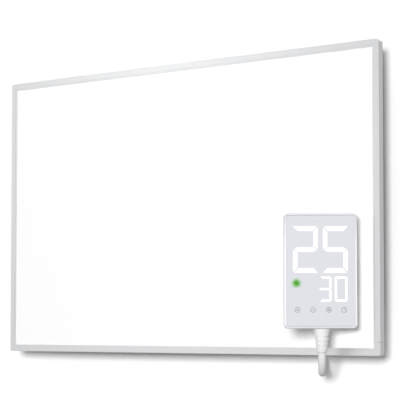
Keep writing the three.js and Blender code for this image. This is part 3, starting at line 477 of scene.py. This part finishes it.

# %% [markdown]
# The rim round the sheet is white along the sides. Towards the top its colour fades to the sheet's grey,
# and along the bottom edge it has that grey throughout: painted shade, for edges that catch less
# light than the sides.

# %% Front shell with painted shade on its rim
tree, shader, spot, drifted, bump = make_finish("fading_white", **shell_white)
shell_bottom, shell_top = (corner[2] for corner in corners("controller_front_shell"))
height = add(tree, "SeparateXYZ", i0=spot).outputs["Z"]
# Painted shade: the rim's colour turns to the sheet's grey towards the top and along the bottom edge.
shade_to_top = smooth_share(tree, height, shell_top - 50 * mm, shell_top - 2 * mm)
shade_to_bottom = smooth_share(tree, height, shell_bottom + 5 * mm, shell_bottom + 3 * mm)
painted_shade_share = arithmetic(tree, "MAXIMUM", shade_to_top, shade_to_bottom)
fill(shader, Base_Color=blended(tree, painted_shade_share, drifted["Colour"], (0.7, 0.71, 0.745, 1)))
print("finishes:", sorted(finishes))

# %% [markdown]
# ## The cord comes first
# The controller's lead leaves its strain relief, loops under the panel and runs up behind it.
# The rest is wound into a flat coil of two layers on the cable hook, held by a strap, and its
# end goes into the terminal box's gland. It is one tube, swept along one smooth line: listed
# points where it lies free, and a spiral worked out turn by turn where it is coiled.

# %% Cord route
cord_diameter = 10 * mm
lead_route = np.array([
    (234.2, -79.0, -313.9), (233.7, -78.0, -316.7), (232.1, -74.8, -324.1), (229.4, -69.4, -331.6),
    (225.9, -62.5, -337.4), (222.0, -54.6, -340.9), (217.7, -46.1, -342.3), (213.4, -37.5, -341.6),
    (209.3, -29.4, -338.7), (205.7, -22.2, -333.4), (202.8, -16.3, -326.4), (200.7, -12.1, -318.0),
    (199.7, -10.1, -310.0), (199.4, -9.6, -303.0), (199.3, -9.5, -292), (199.3, -9.5, -278),
    (199.3, -9.5, -264), (199.3, -9.5, -250.3),
]) * mm
tail_route = np.array([
    (126.0, -20.1, -177), (118, -20.2, -177.2), (108, -20.7, -178), (97, -21.7, -178.6),
    (86, -22.7, -178.4), (76, -23.1, -177.4), (68, -23.2, -177), (60, -23.2, -177),
    (50, -23.2, -177), (38, -23.2, -177), (25, -23.2, -177),
]) * mm
coil_centre = np.array([136.3, -9.5, -240]) * mm
coil_radius = 63 * mm  # outermost turn
coil_pitch = 10.6 * mm
coil_turns = 4.25
coil_ease = 0.08  # turns over which the spiral's reversal is rounded
coil_points, steps_between = 103, 5  # points on the coil, and steps from each point to the next


def coil_line(turn):
    """Radius = outer radius less a pitch for each turn away from the ends; the middle half turn
    climbs one layer with a smooth step."""
    middle = coil_turns / 2
    radius = coil_radius - coil_pitch * (middle - np.hypot(turn - middle, coil_ease))
    share = np.clip((turn - middle) / 0.5 + 0.5, 0, 1)
    climb = share * share * (3 - 2 * share)
    angle = 2 * math.pi * turn
    x, y, z = radius * np.cos(angle), -coil_pitch * climb, radius * np.sin(angle)
    return coil_centre + np.stack([x, y, z], -1)


def smooth_line(points, steps):
    """Catmull-Rom with centripetal knots: each span blends three straight lines, twice."""
    points = np.concatenate([2 * points[:1] - points[1:2], points, 2 * points[-1:] - points[-2:-1]])
    gaps = np.sqrt(np.linalg.norm(np.diff(points, axis=0), axis=1))
    knot = np.concatenate([[0], np.cumsum(gaps)])
    spans = len(points) - 3
    p = [points[i:spans + i, None] for i in range(4)]
    k = [knot[i:spans + i, None, None] for i in range(4)]
    t = k[1] + (k[2] - k[1]) * np.linspace(0, 1, steps, endpoint=False)[None, :, None]

    def between(a, b, ka, kb):
        return ((kb - t) * a + (t - ka) * b) / (kb - ka)

    a = [between(p[i], p[i + 1], k[i], k[i + 1]) for i in range(3)]
    b = [between(a[i], a[i + 1], k[i], k[i + 2]) for i in range(2)]
    curve = between(b[0], b[1], k[1], k[2]).reshape(-1, 3)
    return np.concatenate([curve, points[-2:-1]])


cord_line = smooth_line(np.concatenate([
    lead_route, coil_line(np.linspace(0, coil_turns, coil_points)), tail_route,
]), steps_between)


# %% Cord mesh
def tube(line, radius, sides=20):
    """A circle at each point of the line, square to it: radius * (cos a * side + sin a * over)."""
    ahead = np.gradient(line, axis=0)
    ahead /= np.linalg.norm(ahead, axis=1)[:, None]
    side = np.stack([-ahead[:, 2], np.zeros(len(line)), ahead[:, 0]], -1)
    side /= np.linalg.norm(side, axis=1)[:, None]
    over = np.cross(ahead, side)
    angle = once_round(sides)[None, :, None]
    ring = np.cos(angle) * side[:, None] + np.sin(angle) * over[:, None]
    return grid(line[:, None] + radius * ring)


lead = mesh_object("controller_cord", [tube(cord_line, cord_diameter / 2)])
cord = settle(lead, "soft_white", None)
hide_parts("cord_lead", "cord_coil", "cord_tail")
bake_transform(cord)

# %% [markdown]
# ## The frame
# The real frame is one aluminium channel, notched and bent round the sheets and closed by a butt
# joint low on the right. Its face is flat with a narrow sunk band along the inner edge. The
# profile is carried once round the rounded rectangle, from one side of the joint to the other,
# so the mitres, the rounded outer corners and the open joint all come from one grid.


# %% Frame profile
least_radius = 0.05 * mm


def rounded_rectangle(width, height, radius, inset=0.0, steps=8):
    """Each corner turns about its own centre, which stays put while any of the radius is left."""
    inset = np.atleast_1d(np.asarray(inset, float))[:, None, None]
    left = np.maximum(radius - inset, least_radius)
    angle = (np.arange(4)[:, None] + np.linspace(0, 1, steps)) * math.pi / 2
    way_x = np.array([1, -1, -1, 1])[:, None]
    way_z = np.array([1, 1, -1, -1])[:, None]
    x = way_x * (width / 2 - inset - left) + left * np.cos(angle)
    z = way_z * (height / 2 - inset - left) + left * np.sin(angle)
    return np.stack([x, z], -1).reshape(len(inset), -1, 2)


frame_wall = 1.4 * mm
frame_face = 9.7 * mm
band_width = 2.2 * mm
band_drop = 0.4 * mm
back_flange = 8 * mm
outer_corner = 4 * mm
seam_above_bottom = 17 * mm
seam_width = 0.4 * mm
outer_edge, inner_edge, fine_edge = 0.5 * mm, 0.3 * mm, 0.15 * mm

# (inset from the panel's edge, depth from the front), once round the channel
channel = np.array([
    (0, 0), (frame_face - band_width, 0), (frame_face - band_width, band_drop),
    (frame_face, band_drop), (frame_face, frame_wall), (frame_wall, frame_wall),
    (frame_wall, panel_depth - frame_wall), (back_flange, panel_depth - frame_wall),
    (back_flange, panel_depth), (0, panel_depth),
])
softness = np.array([outer_edge, fine_edge, fine_edge, inner_edge, *[fine_edge] * 5, outer_edge])
inset, depth = eased(channel, softness).T
bends = np.moveaxis(rounded_rectangle(panel_width, panel_height, outer_corner, inset), 0, 1)
seam_height = seam_above_bottom - panel_height / 2
half_seam = np.array([seam_width, -seam_width])[:, None] / 2
first, last = np.stack(np.broadcast_arrays(
    panel_width / 2 - inset, seam_height + half_seam), -1)[:, None]
stations = np.concatenate([first, bends, last])
frame_points = np.stack([
    stations[..., 0] + panel_centre[0],
    np.broadcast_to(frame_low[1] + depth, stations.shape[:2]),
    stations[..., 1] + panel_centre[2],
], -1)
settle(mesh_object("frame_channel", [grid(frame_points)]), "anodised_aluminium", "panel",
       ["frame_profile"], crease=28)
print("frame stations:", len(stations), "profile points:", len(inset))

# %% [markdown]
# ## The controller's shells
# Two moulded shells meet in a thin line round the sides. Each is a profile carried round the
# same rounded rectangle, like a turned part with a square plan. The front shell has a seat for
# the grey face sheet and a soft white rim around it.


# %% Controller shells
def moulded(width, height, corner, profile):
    """Carries (inset, depth) pairs round a rounded rectangle, and caps it in the middle."""
    inset, depth = np.asarray(profile).T
    outline = rounded_rectangle(width, height, corner, inset)
    return grid(on_controller(outline[..., 0], depth[:, None], outline[..., 1]))


controller_width, controller_height = 91.5 * mm, 144 * mm
controller_corner = 5 * mm
shell_wall = 1.8 * mm
face_width, face_height, face_corner = 86 * mm, 138 * mm, 2.7 * mm
rim = (controller_width - face_width) / 2 - 0.1 * mm
face_seat = shell_front + 1.4 * mm
seat_floor = face_seat + 1.3 * mm
back_floor = shell_back - 2 * mm
front_rear = shell_split - 0.3 * mm
deep = 20 * mm  # where a profile ends and a flat cap closes it

front_profile = eased([
    (deep, face_seat), (rim, face_seat), (rim, shell_front), (0, shell_front), (0, front_rear),
    (shell_wall, front_rear), (shell_wall, seat_floor), (deep, seat_floor),
], np.array([0, 0.1, 0.08, 1.7, 0.25, 0.1, 0.3, 0]) * mm, closed=False)
back_profile = eased([
    (deep, shell_back), (0, shell_back), (0, shell_split), (shell_wall, shell_split),
    (shell_wall, back_floor), (deep, back_floor),
], np.array([0, 2.4, 0.25, 0.1, 0.3, 0]) * mm, steps=7, closed=False)
# The front shell's rim carries painted shade at its top and bottom.
for name, profile, finish in (
    ("front_shell", front_profile, "fading_white"), ("back_shell", back_profile, "white_plastic"),
):
    settle(mesh_object(f"controller_{name}_moulded", [
        moulded(controller_width, controller_height, controller_corner, profile),
    ]), finish, "controller", [f"controller_{name}"])


# %% [markdown]
# The face sheet is a flat panel with a fine rounded edge and a small round window for the
# status light, which is a clear plastic dome set in that window.

# %% Face sheet and status light
def turned(profile, centre, axis, sides=32):
    """(radius, distance) pairs go round a level axis: radius * (cos a * side + sin a * over)."""
    axis = np.asarray(axis, float)
    side = np.cross(axis, upward)
    over = np.cross(axis, side)
    angle = once_round(sides)[None, :, None]
    radius, distance = np.asarray(profile, float).T[..., None, None]
    return grid(centre + distance * axis + radius * (np.cos(angle) * side + np.sin(angle) * over))


face_rear = shell_front + 1.1 * mm
face_profile = eased([
    (deep, face_rear), (0, face_rear), (0, shell_front), (deep, shell_front),
], np.array([0, 0.1, 0.08, 0]) * mm, closed=False)
face_surface = moulded(face_width, face_height, face_corner, face_profile)
face_sheet = mesh_object("face_sheet", [face_surface])
led_radius, window_radius = 2.3, 2.6  # mm
window = np.array([(0, -1), (window_radius, -1), (window_radius, 3), (0, 3)]) * mm
cut_away(face_sheet, turned(window, led_place, inward))
settle(face_sheet, "face_grey", "controller", ["face_panel"])

dome = profile_mm([(0, -0.25), (1.4, -0.2), (led_radius, 0.15), (led_radius, 4), (0, 4)],
                  [0, 0.6, 0.3, 0.1, 0])
settle(mesh_object("status_light", [turned(dome, led_place, inward)]), "lit_green", "controller",
       ["status_led"])

# %% [markdown]
# ## Lit figures
# The display shows plain two-digit readings, a large one above a small one. Each stroke is a
# thin raised plate with mitred ends, as in a segment display: bars lie across, posts stand up,
# and a hair-fine gap parts them.

# %% Segment figures
figure_front = shell_front - 0.06 * mm
figure_back = shell_front + 0.05 * mm
segments_of = {0: "abcdef", 2: "abged", 3: "abgcd", 5: "afgcd"}


def segment_outlines(lit, width, height, bar, post, gap, cut, blunt):
    """The strokes of a figure, as outlines in its own box with the origin at its lower left.

    A bar's end is (inset from the side, distance from the top) rows. Where it meets a post, the
    outer corner is cut at a slant and the mitre keeps the gap; a free end starts at `blunt`.
    """
    lean = bar / post
    tip = (cut + lean * gap) / (1 + lean)
    joined = [(cut, 0), (tip, cut - tip), (post + gap, bar)]
    free = [(blunt, 0), (blunt + post, bar)]

    def across(left, right):
        near, far = (np.array(joined if name in lit else free) for name in (left, right))
        return np.concatenate([near[::-1] * (1, -1) + (0, height), far * -1 + (width, height)])

    half, inner = height / 2, width - post
    above, below = half + bar / 2, half - bar / 2
    middle = np.array([
        (gap, half), (post, above), (inner, above), (width - gap, half), (inner, below),
        (post, below),
    ])
    foot = [(inner, half + gap / 2), (width, half + gap / 2)]
    if "g" in lit:
        foot = [(inner, above + gap), (width, half + gap)]
    down = (lean * cut + gap) / (1 + lean)
    post_tip = (width - (cut - down), height - down)
    right = np.array([*foot, (width, height - cut), post_tip, (inner, height - bar - gap)])
    flip_x, flip_z = np.array([-1, 1]), np.array([1, -1])
    return {
        "a": across("f", "b"), "d": across("e", "c") * flip_z + (0, height), "g": middle,
        "b": right, "c": right * flip_z + (0, height), "f": right * flip_x + (width, 0),
        "e": right * -1 + (width, height),
    }


def raised(outline, front=figure_front):
    """A flat plate on the controller's face, from an outline in x and z."""
    outline = np.asarray(outline)
    depth = np.array([front, figure_back])[:, None]
    return grid(on_controller(outline[None, :, 0], depth, outline[None, :, 1]))


def figures(digits, left, bottom, pitch, *sizes):
    """Raised strokes of several digits, side by side."""
    return [
        raised(outline + (left + number * pitch, bottom))
        for number, digit in enumerate(digits)
        for name, outline in segment_outlines(segments_of[digit], *sizes).items()
        if name in segments_of[digit]
    ]


# left, bottom and pitch, then width, height, bar, post, gap, cut and blunt, in mm
large = np.array([-34.7, -2.7, 37.4, 31.2, 58.3, 6.1, 5.8, 0.9, 2.7, 0]) * mm
small = np.array([-2.7, -38.7, 19.9, 16.2, 31.7, 3.1, 3.1, 0.5, 1.3, 1.7]) * mm
strokes = figures((2, 5), *large) + figures((3, 0), *small)
settle(mesh_object("display_figures", strokes), "lit_white", "controller")
print("strokes:", len(strokes))

# %% [markdown]
# Four touch marks are printed in a row below the figures: a plus, a minus, a list of three bars
# and a clock, each in a thin ring.

# %% Touch marks
mark_height = -48.7 * mm
mark_radius = 3.4 * mm
line_width = 0.55 * mm
mark_front = shell_front - 0.03 * mm


def printed_ring(x, sides=40):
    """A flat ring: its outer and inner line, front and back, go round the centre."""
    angle = once_round(sides)[:, None]
    ring = mark_radius - np.array([0, 0, line_width, line_width])
    depth = np.array([mark_front, figure_back, figure_back, mark_front])
    points = on_controller(x + ring * np.cos(angle), depth, mark_height + ring * np.sin(angle))
    return grid(points, round_rows=True)


def printed_bar(x, up, length, angle):
    """A thin bar that starts at a point and runs off at an angle, with its width to both sides."""
    way = np.array([math.cos(angle), math.sin(angle)])
    aside = np.array([-way[1], way[0]]) * line_width / 2
    start = np.array([x, mark_height + up])
    end = start + length * way
    return raised([start - aside, end - aside, end + aside, start + aside], mark_front)


plus_x, minus_x, list_x, clock_x = np.array([-29.1, -9.8, 9.9, 29.1]) * mm
short, half_line, list_step = 1.5 * mm, line_width / 2, 1.1 * mm
on_end = math.pi / 2
bars = [
    (plus_x - short, 0, 2 * short, 0), (plus_x, -short, short - half_line, on_end),
    (plus_x, half_line, short - half_line, on_end), (minus_x - short, 0, 2 * short, 0),
    (clock_x, 0, 1.3 * short, on_end), (clock_x + half_line, 0, 0.8 * short, 0),
    *((list_x - short, row * list_step, 2 * short, 0) for row in (-1, 0, 1)),
]
marks = [printed_ring(x) for x in (plus_x, minus_x, list_x, clock_x)]
marks += [printed_bar(*bar) for bar in bars]
settle(mesh_object("touch_marks", marks), "mark_grey", "controller")

# %% [markdown]
# ## The strain relief
# The boot is soft moulded plastic: a taper that bends a little towards the wall, with three
# slots on each side so that it gives way evenly. It is a turned profile whose axis is an arc,
# and the slots are dips in the radius that are deepest at the sides.

# %% Boot
boot_length, boot_collar = 28.2 * mm, 2 * mm
boot_bend = math.radians(20)
lead_plane = math.radians(26.6)  # the lead's free loop hangs in an upright plane, turned by this
boot_heading = lead_plane - controller_turn
boot_wide, boot_narrow = 10.5 * mm, 6.8 * mm  # radii
flare, flare_run = 0.7 * mm, 2 * mm  # how far the collar's foot widens, and how soon that fades
boot_aside, boot_gap = 2 * mm, 0.3 * mm
boot_socket = 3 * mm
slot_places = np.array([9.7, 15.3, 21.0]) * mm
slot_width, slot_depth = 0.7 * mm, 1.3 * mm


def boot_surface(distance, radius, sides=48):
    """Circles on a line that runs straight down for the collar, then along an arc to the heading.

    On the arc a point is collar + R (1 - cos a) towards the heading - R sin a up, with R the
    arc's radius and a the angle turned.
    """
    arc_radius = (boot_length - boot_collar) / boot_bend
    angle = np.maximum(distance - boot_collar, 0) / arc_radius
    heading = math.cos(boot_heading) * inward - math.sin(boot_heading) * across
    top = on_controller(boot_aside, (shell_front + shell_back) / 2,
                        -controller_height / 2 - boot_gap)
    drop = np.minimum(distance, boot_collar) + arc_radius * np.sin(angle)
    line = top - drop[:, None] * upward + (arc_radius * (1 - np.cos(angle)))[:, None] * heading
    ahead = np.sin(angle)[:, None] * heading - np.cos(angle)[:, None] * upward
    side = np.cross(heading, upward)
    over = np.cross(ahead, side)
    turn = once_round(sides)
    flank = np.clip(1.6 * np.abs(np.cos(turn)) - 0.5, 0, 1)
    dips = np.exp(-(((distance[:, None] - slot_places) / slot_width) ** 4)).sum(1)
    outer = radius > boot_narrow * 0.9
    reach = radius[:, None] - slot_depth * (dips * outer)[:, None] * (0.15 + 0.85 * flank)
    ring = np.cos(turn)[None, :, None] * side + np.sin(turn)[None, :, None] * over[:, None]
    return grid(line[:, None] + reach[..., None] * ring)


body_run = np.linspace(0, boot_length - 0.6 * mm, 90)
taper = (boot_narrow - boot_wide + flare) * body_run / boot_length
body_radius = boot_wide - flare + taper + flare * np.exp(-body_run / flare_run)
socket_radius = cord_diameter / 2 + 0.15 * mm
socket_floor = boot_length - boot_socket
boot_profile = np.concatenate([
    [(0, 0)], np.stack([body_run, body_radius], -1),
    [(boot_length - 0.2 * mm, boot_narrow - 0.15 * mm), (boot_length, boot_narrow - 0.55 * mm),
     (boot_length, socket_radius + 0.1 * mm), (boot_length - 0.2 * mm, socket_radius),
     (socket_floor, socket_radius), (socket_floor, 0)],
])
settle(mesh_object("cord_boot_moulded", [boot_surface(*boot_profile.T)]), "soft_white",
       "controller", ["cord_boot"], crease=50)

# %% [markdown]
# ## Folded steel at the back
# The wall rail and the two hangers are sheet steel, bent on a press, so each has the same
# thickness everywhere and a round bend. A line through the middle of the sheet is offset to
# both sides by half the thickness, and the outline is pulled along the piece's width. Pressed
# steel is darker and plainer than the spangled back plate.


# %% Folded sheet
steel = 2 * mm
bend = 1.4 * mm
lip = 14 * mm
cut_edge = 0.35 * mm


def folded(name, node, body, line):
    """Offsets a (depth, height) line to both sides along its normals, and carries it along X.

    Its width is the CAD node's, and its cut edges are rounded a little.
    """
    low, high = corners(node)
    line = eased(line, [0] + [bend] * (len(line) - 2) + [0], steps=7, closed=False)
    ahead = np.gradient(line, axis=0)
    ahead /= np.linalg.norm(ahead, axis=1)[:, None]
    aside = np.stack([-ahead[:, 1], ahead[:, 0]], -1) * steel / 2
    outline = np.concatenate([line + aside, (line - aside)[::-1]])
    ends = np.array([low[0], high[0]])[:, None]
    piece = mesh_object(name, [grid(np.stack(np.broadcast_arrays(ends, *outline.T), -1))])
    soften(piece, cut_edge, segments=2, sharper_than=60)
    settle(piece, "pressed_zinc", body, [node])


def sheet_box(node):
    """The sheet's middle at a CAD node's front and back, and the node's bottom and top."""
    low, high = corners(node)
    return low[1] + steel / 2, high[1] - steel / 2, low[2], high[2]


front, back, bottom, top = sheet_box("wall_rail")
shelf = top - lip - steel / 2
folded("wall_rail_folded", "wall_rail", "wall_mount",
       [(back, bottom), (back, shelf), (front, shelf), (front, top)])
for side in ("left", "right"):
    front, back, bottom, top = sheet_box(f"hanger_bracket_{side}")
    shelf = top - steel / 2
    folded(f"hanger_folded_{side}", f"hanger_bracket_{side}", "panel",
           [(front, bottom), (front, shelf), (back, shelf), (back, top - lip)])

# %% [markdown]
# ## Turned and riveted pieces
# Screws, rivets, spacers and their rubber pads are turned about an axis along Y. A cross recess
# is cut into each screw head with two thin tapered blades.


# %% Turning on a node's axis
def face_of(node, facing):
    """The middle of a CAD node's front face, or of its back face where facing is 1."""
    low, high = corners(node)
    middle = (low + high) / 2
    middle[1] = (high if facing > 0 else low)[1]
    return middle


def depth_of(node):
    """A CAD node's depth, in mm."""
    low, high = corners(node)
    return (high[1] - low[1]) / mm


def lathed(name, node, finish, facing, points, reach, sides=32, crease=35):
    """A turned piece of the panel, from (radius, distance) pairs in mm that start at a face."""
    surface = turned(profile_mm(points, reach), face_of(node, facing), (0, 1, 0), sides)
    settle(mesh_object(name, [surface]), finish, "panel", [node], crease=crease)


# %% Screws
def blade(centre, axis, way, reach, width, depth):
    """A wedge for a cross recess: a rectangle at the head's face that narrows to its floor."""
    floor_share, above = 0.45, 0.2 * mm
    flat = np.array([(-reach, -width), (reach, -width), (reach, width), (-reach, width)]) / 2
    size = np.array([1, floor_share])[:, None, None]
    level = np.array([above, -depth])[:, None, None]
    rectangle = flat[:, :1] * way + flat[:, 1:] * np.cross(axis, way)
    return grid(centre + size * rectangle + level * axis)


def screw(name, node, body, facing, head_radius, head_height, shank_radius, length, recess):
    """A pan-head screw along Y, in mm: a domed head with a cross recess, and a plain shank."""
    face, axis = face_of(node, facing), np.array([0, facing, 0])
    profile = profile_mm([
        (0, 0), (head_radius * 0.8, -0.1 * head_height), (head_radius, -head_height),
        (shank_radius, -head_height), (shank_radius, -length + shank_radius), (0, -length),
    ], [0, 0.25 * head_height, 0.12, 0.1, 0.1, 0])
    piece = mesh_object(name, [turned(profile, face, axis, 40)])
    cross = np.array([recess, 0.22 * recess, 0.65 * head_height]) * mm
    for way in (upward, np.cross(axis, upward)):
        cut_away(piece, blade(face, axis, way, *cross))
    settle(piece, "screw_steel", body, [node], crease=40)


for kind, ends, body, facing, sizes in (
    ("wall_screw", ("left", "right"), "wall_mount", -1, (4.5, 2.6, 2.25, 34.9, 5.2)),
    ("lid_screw", ("upper", "lower"), "panel", 1, (3, 1.8, 1.5, 15.6, 3.4)),
):
    for end in ends:
        screw(f"{kind}_cross_{end}", f"{kind}_{end}", body, facing, *sizes)

# %% Rivets, spacers and pads
for side in ("left", "right"):
    for number in (1, 2):
        node = f"hanger_rivet_{side}_{number}"
        end = -depth_of(node)
        lathed(f"pull_rivet_{side}_{number}", node, "screw_steel", 1, [
            (0, -0.55), (1.1, -0.55), (1.4, 0), (2.6, -0.1), (4, -1.5), (2, -1.6), (2, end),
            (0, end),
        ], [0, 0.1, 0.2, 0.8, 0.1, 0.1, 0.1, 0], crease=40)
    node = f"wall_spacer_{side}"
    end = depth_of(node)
    lathed(f"spacer_turned_{side}", node, "white_plastic", -1, [
        (0, 0), (14, 0), (14, 3), (10, 7), (10, end), (3.3, end), (3.3, end - 5.3), (0, end - 5.3),
    ], [0, 0.2, 0.8, 1.5, 0.6, 0.2, 0.1, 0], sides=48)
    node = f"spacer_pad_{side}"
    end = -depth_of(node)
    lathed(f"pad_turned_{side}", node, "dark_rubber", 1, [
        (0, 0), (8.4, 0), (10, -1), (10, -3), (3, -3), (3, end), (0, end),
    ], [0, 0.5, 0.6, 0.2, 0.1, 0.2, 0], sides=48)

# %% [markdown]
# ## The gland
# The gland's cap and body have hexagons whose corners are turned off at a slant, as on a nut.
# In polar form the outline is the smaller of two radii: the hexagon's, apothem / cos of the
# angle from the nearest flat, and the chamfer's circle.


# %% Gland
hexagon_apothem = 10.5 * mm


def hexed(name, node, rows, sides=72):
    """(circle, distance) rows along X, in mm: the radius is the smaller of hexagon and circle."""
    low, high = corners(node)
    start = np.array([low[0], *(low + high)[1:] / 2])
    circle, distance = np.array(rows).T[..., None] * mm
    angle = once_round(sides)[None]
    from_flat = (angle + math.pi / 6) % (math.pi / 3) - math.pi / 6
    radius = np.minimum(hexagon_apothem / np.cos(from_flat), circle)
    along = np.broadcast_to(distance, radius.shape)
    surface = grid(start + np.stack([along, radius * np.cos(angle), radius * np.sin(angle)], -1))
    settle(mesh_object(name, [surface]), "grey_plastic", "panel", [node], crease=25)


point, bore = 12.2, cord_diameter / 2 / mm + 0.3
hexed("gland_cap_hexed", "gland_cap", [
    (8.3, 0), (11, 0), (point, 0.8), (point, 8.8), (10.9, 9.6), (10, 9.9), (9.6, 12), (8.9, 13.2),
    (7.4, 14.4), (6.4, 14.7), (bore, 14.7), (bore, 8),
])
low, high = corners("gland_body")
shoulder = (corners("terminal_box_base")[1][0] - low[0]) / mm + 0.3
end = (high[0] - low[0]) / mm
hexed("gland_body_hexed", "gland_body", [
    (bore, 0), (7.6, 0), (8, 0.4), (8, shoulder), (11.2, shoulder), (point, shoulder + 0.6),
    (point, shoulder + 4.4), (11.2, shoulder + 5), (7.5, shoulder + 5), (7.5, end), (bore, end),
])

# %% [markdown]
# ## Moulded and pressed pieces whose CAD shape is right
# The terminal box, the inlet, the holder, the hook and the strap already have their real shape.
# They only need the small radius that every moulded edge has, so each is a merged copy of its
# node with a rounded edge. A sharp edge catches no light, and a rounded one draws the shape.

# %% Softened copies
for name, node, finish, body, width in (
    ("terminal_box_moulded", "terminal_box_base", "white_plastic", "panel", 0.5),
    ("terminal_lid_moulded", "terminal_box_lid", "white_plastic", "panel", 0.7),
    ("mains_inlet_moulded", "mains_inlet", "black_plastic", "panel", 0.3),
    ("cable_hook_moulded", "cable_hook", "white_plastic", "panel", 0.6),
    ("cord_strap", "cord_tie", "black_plastic", "panel", 0.4),
    ("holder_foot_moulded", "holder_foot", "white_plastic", "panel", 0.4),
    ("cradle_moulded", "cradle", "white_plastic", "controller", 0.5),
    ("swivel_pin_turned", "swivel_pin", "screw_steel", "panel", 0.3),
):
    copy = place(bpy.data.objects.new(name, frame["nodes"][node].data.copy()))
    clean(copy.data, flat_faces=True)
    soften(copy, width * mm)
    settle(copy, finish, body, [node], crease=40)

# %% [markdown]
# ## CAD nodes that stay as they are
# Flat sheets, and everything inside the panel and the controller, keep their CAD mesh and only
# take the finish that the record names for them.

# %% Finishes of the CAD nodes
for part in frame["record"]["subparts"]:
    data = frame["nodes"][part["node"]].data
    data.materials.clear()
    data.materials.append(finishes[part["material_slot"]])

# %% [markdown]
# ## The studio
# The panel hangs close to a white wall, which keeps the panel's shadow. A faint glow that only
# the views see evens out the wall's white. The wall's back is clear, so the object can be seen
# from behind as well. It blocks no light and returns none: the shadow stays dark, and the soft
# light of the room reaches every side.


# %% Wall
def upright_sheet(name, across_it, up_it, depth):
    """A sheet at one depth, from (left, right) and (bottom, top), with a material of its own."""
    x, y, z = np.meshgrid(across_it, depth, up_it, indexing="ij")
    points = np.stack([x, y, z], -1).reshape(2, 2, 3)
    sheet = mesh_object(name, [grid(points, round_columns=False)])
    material = bpy.data.materials.new(name)
    material.use_nodes = True
    sheet.data.materials.append(material)
    return sheet, material.node_tree


def any_ray(tree, *kinds):
    """1 for rays of the named kinds and 0 for all others: the largest of Light Path's marks."""
    path = add(tree, "LightPath")
    mark, *others = (path.outputs[f"Is {kind} Ray"] for kind in kinds)
    for other in others:
        mark = arithmetic(tree, "MAXIMUM", mark, other)
    return mark


room = 4.0
wall_glow = 0.04
wall, tree = upright_sheet("studio_wall", (-room, room), (-room, room), 0.5 * mm)
if wall.data.polygons[0].normal.y > 0:
    wall.data.flip_normals()
tree.nodes.clear()
paint = add(tree, "BsdfDiffuse", Color=(0.95, 0.95, 0.95, 1))
shine = add(tree, "Emission", Strength=arithmetic(
    tree, "MULTIPLY", any_ray(tree, "Camera", "Glossy", "Transmission"), wall_glow))
front = add(tree, "AddShader", i0=paint.outputs[0], i1=shine.outputs[0])
back = add(tree, "BsdfTransparent")
from_behind = add(tree, "NewGeometry").outputs["Backfacing"]
sides = add(tree, "MixShader", i0=from_behind, i1=front.outputs[0], i2=back.outputs[0])
add(tree, "OutputMaterial", Surface=sides.outputs[0])
wall.visible_shadow = wall.visible_diffuse = wall.visible_glossy = False

# %% [markdown]
# The back of the panel is bare zinc, and it would throw light into the shadow on the wall. A
# black card behind it stops that. Only soft bounced light meets the card: no view, no mirror
# image and no lamp does.

# %% Shadow card
card_level = panel_centre[1] + panel_depth / 2 + 0.5 * mm
card, tree = upright_sheet("shadow_card", (frame_low[0], frame_high[0]),
                           (frame_low[2], frame_high[2]), card_level)
fill(tree.nodes["Principled BSDF"], Base_Color=(0, 0, 0, 1), Specular_IOR_Level=0)
card.visible_camera = card.visible_glossy = card.visible_transmission = card.visible_shadow = False

# %% [markdown]
# The key light is a large, distant window, close to the camera's own direction, so every shadow
# is short: on the wall it shows beside and below the panel. Metal and gloss don't mirror it. They
# mirror a tall strip and a broad window on the left, which paint doesn't see, and which draw the
# soft highlight along the rails. One lamp above and two behind give the other sides their shape.
# These three stand behind the wall's plane, so they don't brighten the shadow.


# %% Lamps
def lamp(name, azimuth, elevation, distance, size, power, height=None, on_paint=True,
         mirrored=True):
    """An area lamp on a sphere round the panel, turned to its middle. Azimuth 0 is in front."""
    data = bpy.data.lights.new(name, "AREA")
    data.shape = "RECTANGLE"
    data.size, data.size_y = size, height or size
    data.energy = power
    azimuth, elevation = math.radians(azimuth), math.radians(elevation)
    level = math.cos(elevation)
    way = np.array([math.sin(azimuth) * level, -math.cos(azimuth) * level, math.sin(elevation)])
    light = place(bpy.data.objects.new(name, data))
    light.location = panel_centre + distance * way
    light.rotation_euler = (math.pi / 2 - elevation, 0, azimuth)
    light.visible_camera = False
    light.visible_diffuse = on_paint
    light.visible_glossy = mirrored


lamp("key_light", 18.2, 7.6, 6.0, 1.83, 300, height=1.36, mirrored=False)
lamp("rail_strip", -33, 14, 2.4, 0.35, 1.9, height=1.2, on_paint=False)
lamp("rail_window", -26, 0, 2.4, 2.0, 3.6, on_paint=False)
lamp("overhead", 176, 75, 2.2, 1.2, 3.5)
lamp("back_left", 188, 38, 2.6, 2.2, 12)
lamp("back_right", -140, 30, 2.6, 2.0, 9)

# %% [markdown]
# The room itself is white in every view, and lights the object softly from all sides. Metal
# mirrors it a little brighter than paint receives it.

# %% World
world = bpy.data.worlds.new("studio")
world.use_nodes = True
bpy.context.scene.world = world
tree = world.node_tree
tree.nodes.clear()
soft, mirrored, white = 0.36, 0.57, 1.0
strength = arithmetic(tree, "MULTIPLY_ADD", any_ray(tree, "Glossy"), mirrored - soft, soft)
room_light, shown = (
    add(tree, "Background", Color=(1, 1, 1, 1), Strength=value).outputs[0]
    for value in (strength, white)
)
mixed = add(tree, "MixShader", i0=any_ray(tree, "Camera", "Transmission"), i1=room_light,
            i2=shown)
add(tree, "OutputWorld", Surface=mixed.outputs[0])
bpy.context.scene.view_settings.view_transform = "Standard"
